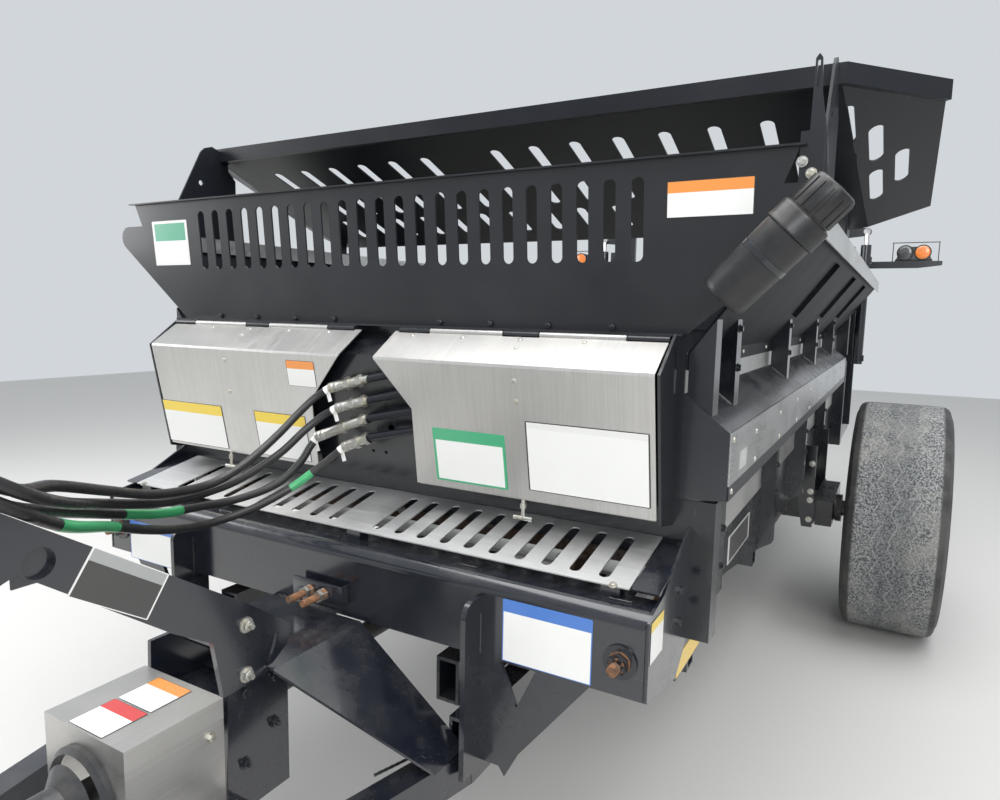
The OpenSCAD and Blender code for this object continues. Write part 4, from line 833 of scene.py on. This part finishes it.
# %% Plates of the front end and the side
DOWN_ARM = Vector((0, 0.561, 0.829))
# Columns: name, middle, facing, width, height, finish, then upward side and body where they differ
PLATES = [
    ("screen_plate_left", screen_face(-840, 1736), SCREEN_OUT, 167, 137, green_block),
    ("screen_plate_right", screen_face(837, 1775), SCREEN_OUT, 174, 72, orange_label),
    ("left_cover_plate_1", cover_face(-650, 1187), COVER_OUT, 270, 134, yellow_label, SKY, "left_cover"),
    ("left_cover_plate_2", cover_face(-283, 1187), COVER_OUT, 197, 132, yellow_label, SKY, "left_cover"),
    ("left_cover_plate_3", cover_face(-174, 1369), COVER_OUT, 100, 70, orange_label, SKY, "left_cover"),
    ("right_cover_plate_1", cover_face(330, 1198), COVER_OUT, 198, 134, green_label, SKY, "right_cover"),
    ("right_cover_plate_2", cover_face(626, 1222), COVER_OUT, 284, 165, white_panel, SKY, "right_cover"),
    ("beam_plate_right", at(618, -235, 887), FRONT, 199, 134, blue_label),
    ("beam_plate_left", at(-629, -235, 859), FRONT, 213, 113, blue_label),
    ("beam_end_plate", at(830, -190, 930), RIGHT_SIDE, 80, 84, yellow_label),
    ("arm_plate", at(134, -809, 1095), RIGHT_SIDE, 153, 79, grey_panel, DOWN_ARM),
    ("drive_cover_plate_1", at(0, -670, 800), SKY, 100, 88, orange_label, BACK),
    ("drive_cover_plate_2", at(0, -762, 800), SKY, 100, 88, red_label, BACK),
    ("strip_tag", at(903, 171, 1225), RIGHT_SIDE, 78, 44, metal_tag),
    ("skirt_panel", at(800, 765, 860), RIGHT_SIDE, 320, 84, dark_panel),
]
for row in PLATES:
    plate(*row)
print(len(PLATES), "plates")

# %% [markdown]
# A strip of reflecting tape hangs on a small tab below the skirt on each side.

# %% Marker tabs
SIDES = (("left", -1), ("right", 1))
for name, side in SIDES:
    plate(f"marker_tab_{name}", at(side * 794, 194, 776), side * RIGHT_SIDE, 224, 146, black_paint, thick=6.0)
    plate(f"marker_tape_{name}", at(side * 800, 194, 733), side * RIGHT_SIDE, 214, 50, yellow_tape)
print("marker tabs ready")

# %% [markdown]
# ## Bolts
# Bolts are small and many, so each has only a few dozen faces: a washer, a hex head and a slight
# crown. They are gathered in one mesh per body and finish, which keeps the scene light. Each bolt
# stops at its own angle, which is taken from its place.

# %% Bolt shapes
TURN_BY_X = 40
TURN_BY_Z = 31


def add_disc(bm, spot, radius_low, radius_high, low, high, sides):
    """A drum or cone on its own axis, from low to high along it, in millimetres."""
    middle = spot @ Matrix.Translation((0, 0, (low + high) / 2 * MM))
    bmesh.ops.create_cone(bm, cap_ends=True, segments=sides, radius1=radius_low * MM,
                          radius2=radius_high * MM, depth=(high - low) * MM, matrix=middle)


def add_bolt(bm, place, out, size, nut=False):
    """A hex bolt on its washer. A nut also shows the end of its thread."""
    spot = seat(place, out) @ Matrix.Rotation(place.x * TURN_BY_X + place.z * TURN_BY_Z, 4, "Z")
    add_disc(bm, spot, size * 1.3, size * 1.3, 0, size * 0.22, 16)
    add_disc(bm, spot, size, size * 0.98, size * 0.22, size * 0.85, 6)
    add_disc(bm, spot, size * 0.84, size * 0.7, size * 0.85, size * 0.96, 12)
    if nut:
        add_disc(bm, spot, size * 0.48, size * 0.44, size * 0.96, size * 1.7, 10)


def add_dome(bm, place, out, size):
    """A round-headed bolt."""
    spot = seat(place, out)
    add_disc(bm, spot, size, size * 0.86, 0, size * 0.28, 16)
    add_disc(bm, spot, size * 0.86, size * 0.4, size * 0.28, size * 0.5, 16)


print("bolt shapes ready")

# %% [markdown]
# Bolts that were painted with the machine are black. Those that were put in later are zinc: the
# heads along the ledge strip and the flare, the arm's bolts and the axle's.

# %% Bolts of the front end and the sides
GRATE_UP = Vector((0, -0.215, 0.977))
black_bolts = bmesh.new()
zinc_bolts = bmesh.new()
for side, out in ((-1, -RIGHT_SIDE), (1, RIGHT_SIDE)):
    for x in (176, 324, 479, 636):
        add_bolt(black_bolts, screen_face(side * x, 1512), SCREEN_OUT, 7)
    for z in (971, 902):
        add_bolt(black_bolts, at(side * 830, -40, z), out, 9)
    for y, z in ((-565, 790), (-490, 790), (-490, 690), (-565, 640)):
        add_bolt(black_bolts, at(side * 122, y, z), out, 10, nut=True)
    # Ledge strip: a pair at each place, wider apart at the front where the strip is
    for y in (60, 328, 720, 1100, 1485, 1850, 2215, 2600, 2980, 3320):
        for z in (1283, 1172) if y == 60 else (1265, 1196):
            add_dome(zinc_bolts, at(side * 903, y, z), out, 7)
    # Posts above the ledge and below it
    for y in (276, 1148, 2020, 2892):
        for x, z in ((860, 1420), (860, 1512), (848, 1025), (848, 930)):
            add_bolt(black_bolts, at(side * x, y, z), out, 8)
    # Flare's flange along the wall
    for y in (160, 620, 1000, 1500, 1880, 2380, 2750, 3200, 3600):
        add_dome(zinc_bolts, at(side * 806, y, 1443), out, 7)
    # Axle plates
    for y, plate_out in ((2230, FRONT), (2850, -FRONT)):
        for z in (836, 698, 655, 558):
            add_bolt(zinc_bolts, at(side * 862, y, z), plate_out, 11, nut=True)
for y, z in ((-565, 932), (-568, 832)):
    add_bolt(zinc_bolts, at(134, y, z), RIGHT_SIDE, 12, nut=True)
for x in (-737, 737):
    add_bolt(zinc_bolts, at(x, -186, 1011), GRATE_UP, 7)
add_bolt(black_bolts, at(-122, -570, 832), -RIGHT_SIDE, 12, nut=True)
for side in (1, -1):
    add_bolt(zinc_bolts, at(side * 118.5, -641, 735), side * RIGHT_SIDE, 8)
for x, z in ((1006, 1830), (1023, 1808)):
    add_bolt(zinc_bolts, screen_face(x, z), SCREEN_OUT, 8)
piece("black_bolts", black_bolts, black_paint)
piece("zinc_bolts", zinc_bolts, zinc)
print("bolts ready")

# %% [markdown]
# The covers are thin stainless sheet, so rivets with round heads hold their hinges and latches.

# %% Rivets of the covers
for body, side, low_z in (("left_cover", -1, 1300), ("right_cover", 1, 1345)):
    bm = bmesh.new()
    for x, down in ((138, 16), (285, 16), (440, 16), (597, 16), (443, 46)):
        add_dome(bm, slope_face(side * x, down), SLOPE_OUT, 6)
    for x, z in ((464, 1391), (466, low_z)):
        add_dome(bm, cover_face(side * x, z), COVER_OUT, 6)
    piece(f"{body}_rivets", bm, zinc, body)
print("rivets ready")

# %% [markdown]
# Each cover is held down by a spring latch: a round stem with a T handle across its lower end.

# %% Latches
for body, x in (("left_cover", -505), ("right_cover", 469)):
    bm = bmesh.new()
    stem = seat(at(x, -58, 1072), SKY)
    add_disc(bm, stem, 5, 5, 0, 44, 12)
    add_disc(bm, stem, 8, 8, 24, 34, 12)
    add_disc(bm, seat(at(x - 24, -58, 1072), RIGHT_SIDE), 5.5, 5.5, 0, 48, 12)
    piece(f"{body}_latch", bm, zinc, body)
print("latches ready")

# %% [markdown]
# ## Hose ends
# A hose is pressed into a ribbed sleeve, and hex nuts turn on the union behind it. A white tag and
# lengths of green tape tell the lines apart. The tape is a slightly thicker tube on the hose's line.

# %% Sleeves, nuts, tags and tape
SLEEVE = [(12.6, 0), (14.2, 1), (14.2, 10), (13.4, 12), (14.2, 14), (14.2, 24), (13.4, 26), (14.2, 28),
          (14.2, 36), (12.6, 37)]
TAG = [(9.8, 0), (10.9, 1), (10.9, 13), (9.8, 14)]
# Columns: left end of a union (x, z), its right end (x, z)
UNIONS = [(-75, 1338, 28, 1365), (-52, 1288, 38, 1314), (-122, 1206, 42, 1269), (-30, 1189, 44, 1220)]
# Columns: hose, start and end of a tape along it in metres
TAPES = [(4, 0.105, 0.170), (4, 0.72, 0.98), (3, 0.42, 0.62)]
TAPE_THICK = 0.7 * MM


def along_line(line, distance):
    """A place on a line and its direction there."""
    for a, b in zip(line, line[1:]):
        step = (b - a).length
        if distance <= step:
            return a.lerp(b, distance / step), (b - a).normalized()
        distance -= step
    return line[-1], (line[-1] - line[-2]).normalized()


green_band = paint("green_band", (0.03, 0.30, 0.11), rough=0.4, dust=0.2, wear=0.2)
white_band = paint("white_band", (0.72, 0.72, 0.70), rough=0.4, dust=0.2, wear=0.2)
sleeves = bmesh.new()
nuts = bmesh.new()
tags = bmesh.new()
for (hose, line), (x0, z0, x1, z1) in zip(hoses, UNIONS):
    start, end = at(x0, -100, z0), at(x1, -90, z1)
    way = (end - start).normalized()
    add_lathe(sleeves, SLEEVE, start, way, 16)
    place, hose_way = along_line(line, 3 * MM)
    add_lathe(tags, TAG, place, hose_way, 16)
    flap = seat(place + hose_way * 7 * MM, FRONT) @ Matrix.Rotation(0.35, 4, "Z")
    add_box(tags, flap @ Matrix.Translation((0, -19 * MM, 0)), 13, 24, 0.6)
    for share, size in ((0.55, 17), (0.90, 16)):
        add_disc(nuts, seat(start.lerp(end, share), way), size, size, -7, 7, 6)
piece("hose_sleeves", sleeves, zinc)
piece("union_nuts", nuts, zinc)
piece("white_hose_tags", tags, white_band)
for number, (hose_number, low, high) in enumerate(TAPES, 1):
    line = hoses[hose_number - 1][1]
    count = round((high - low) * 100)
    places = [along_line(line, low + (high - low) * k / count)[0] for k in range(count + 1)]
    tube_curve(f"green_tape_{number}", places, HOSE_D / 2 + TAPE_THICK, green_band)
print("hose ends ready")

# %% [markdown]
# ## Lamps
# Each lamp has a slightly crowned lens at its front and rear in a black ring. The outer lamp is amber
# both ways. The two sit in one black foot, and a hoop of flat bar on two wires guards them.

# %% Lenses and hoops
LENS = [(45.5, -1), (45.5, 2), (43, 3.4), (30, 4.4), (14, 5), (0, 5.2)]
RING = [(45, -1), (45, 4), (47, 5), (49, 4), (49, -1), (45, -1)]
LAMP_Z = 2000
FOOT_X, FOOT_Y, FOOT_Z = 1218.5, 4323, 1970
# Columns: across, finish of the front lens and of the back lens
LAMP_PAIR = [(1165, dark_lens, red_lens), (1272, amber_lens, amber_lens)]
for side_name, side in SIDES:
    rings = bmesh.new()
    for x, front_lens, back_lens in LAMP_PAIR:
        for where, y, out, finish in (("front", 4290, FRONT, front_lens), ("back", 4356, -FRONT, back_lens)):
            glass = bmesh.new()
            add_lathe(glass, LENS, at(side * x, y, LAMP_Z), out, 32)
            piece(f"lens_{side_name}_{x}_{where}", glass, finish)
            add_lathe(rings, RING, at(side * x, y, LAMP_Z), out, 32)
    piece(f"lamp_rings_{side_name}", rings, black_plastic)
    foot = bmesh.new()
    corners = add_box(foot, at(side * FOOT_X, FOOT_Y, FOOT_Z), 220, 52, 44)
    upper = [v for v in corners if v.co.z > FOOT_Z * MM]
    middle = Matrix.Translation(-at(side * FOOT_X, FOOT_Y, 0))
    bmesh.ops.scale(foot, verts=upper, vec=(0.84, 0.8, 1), space=middle)
    round_edges(foot, 3)
    piece(f"lamp_foot_{side_name}", foot, black_plastic)
    for x in (1090, 1367):
        ends = [at(side * x, 4325, z) for z in (1936, 2068)]
        tube_curve(f"lamp_wire_{side_name}_{x}", ends, 3 * MM, black_paint)
    bar = bmesh.new()
    add_box(bar, at(side * 1228.5, 4325, 2070), 289, 22, 5)
    round_edges(bar, 1, 1)
    piece(f"lamp_hoop_{side_name}", bar, black_paint)
print("lamps ready")

# %% [markdown]
# ## Tyres
# The tyre is one lathe. Its tread is nearly flat between two sharp shoulders, and the sidewall bulges
# below them. The outline closes on itself at the beads, so the ring has an inside and an outside.

# %% Tyres
TYRE = [(286.4, 166), (300, 186), (330, 199), (372, 206), (426, 209.5), (476, 208), (498, 203), (506, 205),
        (514, 201), (538, 194), (548, 188), (556, 176), (559, 162), (561, 158), (562, 100)]
tyre_outline = TYRE + [(r, -h) for r, h in reversed(TYRE)] + TYRE[:1]
for name, side in SIDES:
    bm = bmesh.new()
    add_lathe(bm, tyre_outline, at(side * WHEEL_X, AXLE_Y, TYRE_R), RIGHT_SIDE, 128)
    tyre = piece(f"worn_tyre_{name}", bm, tyre_rubber, f"wheel_{name}", shade_angle=24)
    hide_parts(f"tyre_{name}")
print("tyres ready")

# %% [markdown]
# ## Canister
# The canister for papers is moulded plastic: a straight tube with a collar, a narrower cap with
# broad flutes, and a thin strap that holds it to its saddle. It is turned about the solid's own axis.

# %% Canister
CANISTER_LOW = at(896, -62, 1585)
CANISTER_HIGH = at(1071, -62, 1765)
TUBE = [(0, -15), (38, -15), (44, -13), (47.5, -8), (49, 0), (49, 148), (50, 149), (53, 151), (53, 155),
        (52, 157), (52, 186), (50.5, 190), (45, 193), (0, 193)]
CAP = [(0, 188), (42, 188), (43.5, 192), (43.5, 250), (41.5, 256), (37, 259), (0, 260)]
STRAP = [(48.8, 84), (50.4, 85), (50.4, 96), (48.8, 97)]
FLUTES = 14
can_axis = (CANISTER_HIGH - CANISTER_LOW).normalized()
bm = bmesh.new()
for outline in (TUBE, CAP):
    add_lathe(bm, outline, CANISTER_LOW, can_axis, 48)
for k in range(FLUTES):
    rib = seat(CANISTER_LOW, can_axis) @ Matrix.Rotation(k * math.tau / FLUTES, 4, "Z")
    corners = add_box(bm, rib @ Matrix.Translation((43.4 * MM, 0, 223 * MM)), 4, 12.5, 54)
    round_edges(bm, 1.2, edges=[e for e in bm.edges if e.verts[0] in corners])
canister = piece("paper_canister", bm, black_plastic)
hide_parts("manual_canister")
bm = bmesh.new()
add_lathe(bm, STRAP, CANISTER_LOW, can_axis, 48)
add_box(bm, at(983, -20, 1676), 58, 38, 28)
strap = piece("canister_strap", bm, black_paint)
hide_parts("manual_canister")
print("canister ready, axis", [round(v, 3) for v in can_axis])

# %% [markdown]
# ## Welds
# A weld bead is a thin round line whose thickness pulses along its length, as the puddle does. It is
# drawn as a curve with a wavering radius, in the frame's black paint.

# %% Weld beads
WELD_R = 3.2 * MM
WELD_STEP = 7 * MM


def weld(name, start, end):
    """A bead between two places."""
    count = max(3, round((end - start).length / WELD_STEP))
    bead = tube_curve(name, [start.lerp(end, k / count) for k in range(count + 1)], WELD_R, black_paint)
    bead.data.bevel_resolution = 1
    for k, dot in enumerate(bead.data.splines[0].points):
        dot.radius = WELD_R * (1.12 if k % 2 else 0.84)


# Columns: start (x, y, z) and end (x, y, z). The tacks in front of the grate come first
WELDS = [(x - 24, -189, 986, x + 24, -189, 986) for x in (-755, -375, 10, 405, 755)]
# On both sides: the front beam, the tongue and the front wall, then the posts
SIDE_WELDS = [(454, -236, 822, 454, -236, 912), (466, -236, 822, 466, -236, 912),
              (824, -234, 818, 824, -234, 970), (824, -150, 985, 824, -205, 985),
              (112, -598, 602, 112, -460, 602), (390, -240, 602, 330, -420, 602),
              (806, 38, 1149, 806, 38, 1000)]
for y in (249, 1121, 1993, 2865):
    SIDE_WELDS += [(808, y, 1370, 858, y, 1332), (801, y, 1140, 801, y, 960)]
for side in (-1, 1):
    WELDS += [(side * x0, y0, z0, side * x1, y1, z1) for x0, y0, z0, x1, y1, z1 in SIDE_WELDS]
for number, ends in enumerate(WELDS, 1):
    weld(f"weld_{number}", at(*ends[:3]), at(*ends[3:]))
print(len(WELDS), "welds")

# %% [markdown]
# ## Threaded rods
# The rods that pull the front roller forward end in rusty thread with a big washer and a castle nut.
# The thread is a lathe with a saw-tooth outline. Two more rods come through the middle of the beam.
# The angle that carries them is painted, while the rods are bare.

# %% Threads and nuts of the tension rods
def add_thread(bm, place, length, radius, pitch=3.0):
    """A threaded end that points forward, as a saw-tooth outline that is spun."""
    turns = int(length / pitch)
    outline = [(0, 0)]
    for k in range(turns):
        outline += [(radius - 1.2, k * pitch), (radius, (k + 0.5) * pitch)]
    outline += [(radius - 2, turns * pitch), (0, turns * pitch + 0.5)]
    add_lathe(bm, outline, place, FRONT, 20)


tips = bmesh.new()
dark_nuts = bmesh.new()
bright_nuts = bmesh.new()
for x in (-775, 775):
    add_thread(tips, at(x, -259, 885), 26, 11)
    spot = seat(at(x, -235, 885), FRONT)
    add_disc(dark_nuts, spot, 34, 34, 0, 5, 32)
    add_disc(dark_nuts, spot, 21, 21, 5, 20, 6)
    for k in range(6):
        tooth = spot @ Matrix.Rotation(k * math.tau / 6, 4, "Z")
        add_box(dark_nuts, tooth @ Matrix.Translation((14 * MM, 0, 23 * MM)), 8, 9, 9)
for x in (2, 46):
    add_thread(tips, at(x, -271, 868), 57, 8.6, 2.5)
    for low, high in ((24, 36), (38, 48)):
        add_disc(bright_nuts, seat(at(x, -235, 868), FRONT), 15, 15, low, high, 6)
angle_bm = bmesh.new()
add_box(angle_bm, at(24.5, -256, 871), 157, 8.4, 44)
add_box(angle_bm, at(99, -244.2, 871), 8, 17.6, 44)
round_edges(angle_bm, 1.2)
piece("rod_angle", angle_bm, tongue_paint)
piece("rod_threads", tips, rod_rust)
piece("castle_nuts", dark_nuts, black_paint)
piece("jam_nuts", bright_nuts, zinc)
print("threads ready")

# %% [markdown]
# The beam's upper flange reaches back under the grate, so that no light shows between the two. The
# solid's flange ends short of that, and a flat bar behind it makes up the rest.

# %% Lip below the grate
lip = bmesh.new()
add_box(lip, at(0, -128, 982), 1532, 48, 5.6)
round_edges(lip, 1, 1)
piece("grate_lip", lip, tongue_paint)
print("lip ready")

# %% [markdown]
# ## Rear end
# The flights carry serrated knives round their rims, bolted flat on the blade. Each knife is a small
# plate with one sloping end, turned to the slope of the helix where it sits.

# %% Flight knives
BEATER_X = 392
BEATER_Y = 4480
FLIGHT_R = 330
FLIGHT_Z = 1057
FLIGHT_RISE = 890
FLIGHT_TURNS = 1.25
KNIFE_R = 292
KNIVES = 11
knife_pitch = FLIGHT_RISE / (math.tau * FLIGHT_TURNS)
for name, side in SIDES:
    knives = bmesh.new()
    studs = bmesh.new()
    lean = side * knife_pitch / FLIGHT_R
    for start in (0, math.pi):
        for k in range(KNIVES):
            share = (k + 0.7) / (KNIVES + 0.4)
            turn = start + side * share * math.tau * FLIGHT_TURNS
            outward = Vector((math.cos(turn), math.sin(turn), 0))
            normal = Vector((math.sin(turn) * lean, -math.cos(turn) * lean, 1)).normalized()
            middle = at(side * BEATER_X, BEATER_Y, FLIGHT_Z + FLIGHT_RISE * share + 10)
            middle += outward * KNIFE_R * MM
            spot = seat(middle, normal, outward)
            corners = add_box(knives, spot @ Matrix.Translation((0, 4 * MM, 5 * MM)), 54, 74, 8)
            tip = [v for v in corners if (v.co - middle).dot(outward) > 0]
            bmesh.ops.translate(knives, verts=tip[:2], vec=outward * -12 * MM)
            for across in (-14, 14):
                add_bolt(studs, spot @ Vector((across * MM, -14 * MM, 9 * MM)), normal, 8)
    piece(f"flight_knives_{name}", knives, working_steel, f"{name}_beater", shade_angle=20)
    piece(f"knife_bolts_{name}", studs, rod_rust, f"{name}_beater")
print("knives ready")

# %% [markdown]
# Rings of bolts hold the caps of the beaters and the wheels. The parking leg is wound by a bent crank
# on its top, drawn as one round tube. A black plate behind the round hole in the hose arm is painted
# shade: it makes the hole look dark from the front, as it does on the real machine.

# %% Cap bolts, wheel nuts, crank and the plate of painted shade in the arm's hole
CAP_BOLTS_R = 62
WHEEL_NUTS_R = 168
for name, side in SIDES:
    bm = bmesh.new()
    for k in range(6):
        turn = k * math.tau / 6
        x, y = side * BEATER_X + CAP_BOLTS_R * math.cos(turn), BEATER_Y + CAP_BOLTS_R * math.sin(turn)
        add_bolt(bm, at(x, y, 1997), SKY, 9)
    piece(f"beater_cap_bolts_{name}", bm, zinc, f"{name}_beater")
    bm = bmesh.new()
    for k in range(10):
        turn = k * math.tau / 10
        y, z = AXLE_Y + WHEEL_NUTS_R * math.cos(turn), TYRE_R + WHEEL_NUTS_R * math.sin(turn)
        add_bolt(bm, at(side * (WHEEL_X + 48), y, z), side * RIGHT_SIDE, 11, nut=True)
    piece(f"wheel_nuts_{name}", bm, zinc, f"wheel_{name}")
LEG_TOP = at(-334.2, -1148, 1034)
# Columns: across, along and up from the top of the leg's tube
CRANK = [(0, 0, 0), (0, 0, 22), (-8, -3, 32), (-110, -46, 34), (-125, -52, 40), (-130, -54, 54),
         (-130, -54, 140)]
tube_curve("leg_crank", [LEG_TOP + Vector(step) * MM for step in CRANK], 8 * MM, zinc)
# A black plate behind the arm's hole, as painted shade in the hole
hole_shade_plate = bmesh.new()
add_box(hole_shade_plate, at(ARM_MIDDLE_X - 8, -930, 1168), 4, 66, 66)
round_edges(hole_shade_plate, 1, 1)
piece("arm_hole_shade_plate", hole_shade_plate, tongue_paint)
print("hubs and crank ready")

# %% [markdown]
# ## Couplers
# Each hose ends in a push-in coupler that hangs below the ring. It is a turned part, so its outline
# is spun round the hose's own end.

# %% Couplers
COUPLER = [(0, 0), (6, 0), (8, 2), (8, 22), (9.8, 24), (9.8, 38), (8.4, 40), (8.4, 52), (9.6, 54),
           (9.6, 68), (8.6, 70), (8.6, 88), (0, 89)]
COUPLER_DROP = Vector((0, 0, 90.3)) * MM
for number, (hose, line) in enumerate(hoses, 1):
    bm = bmesh.new()
    add_lathe(bm, COUPLER, line[-1] - COUPLER_DROP, SKY)
    coupler = piece(f"hose_coupler_{number}", bm, zinc)
    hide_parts("hose_couplers")
print(len(hoses), "couplers")
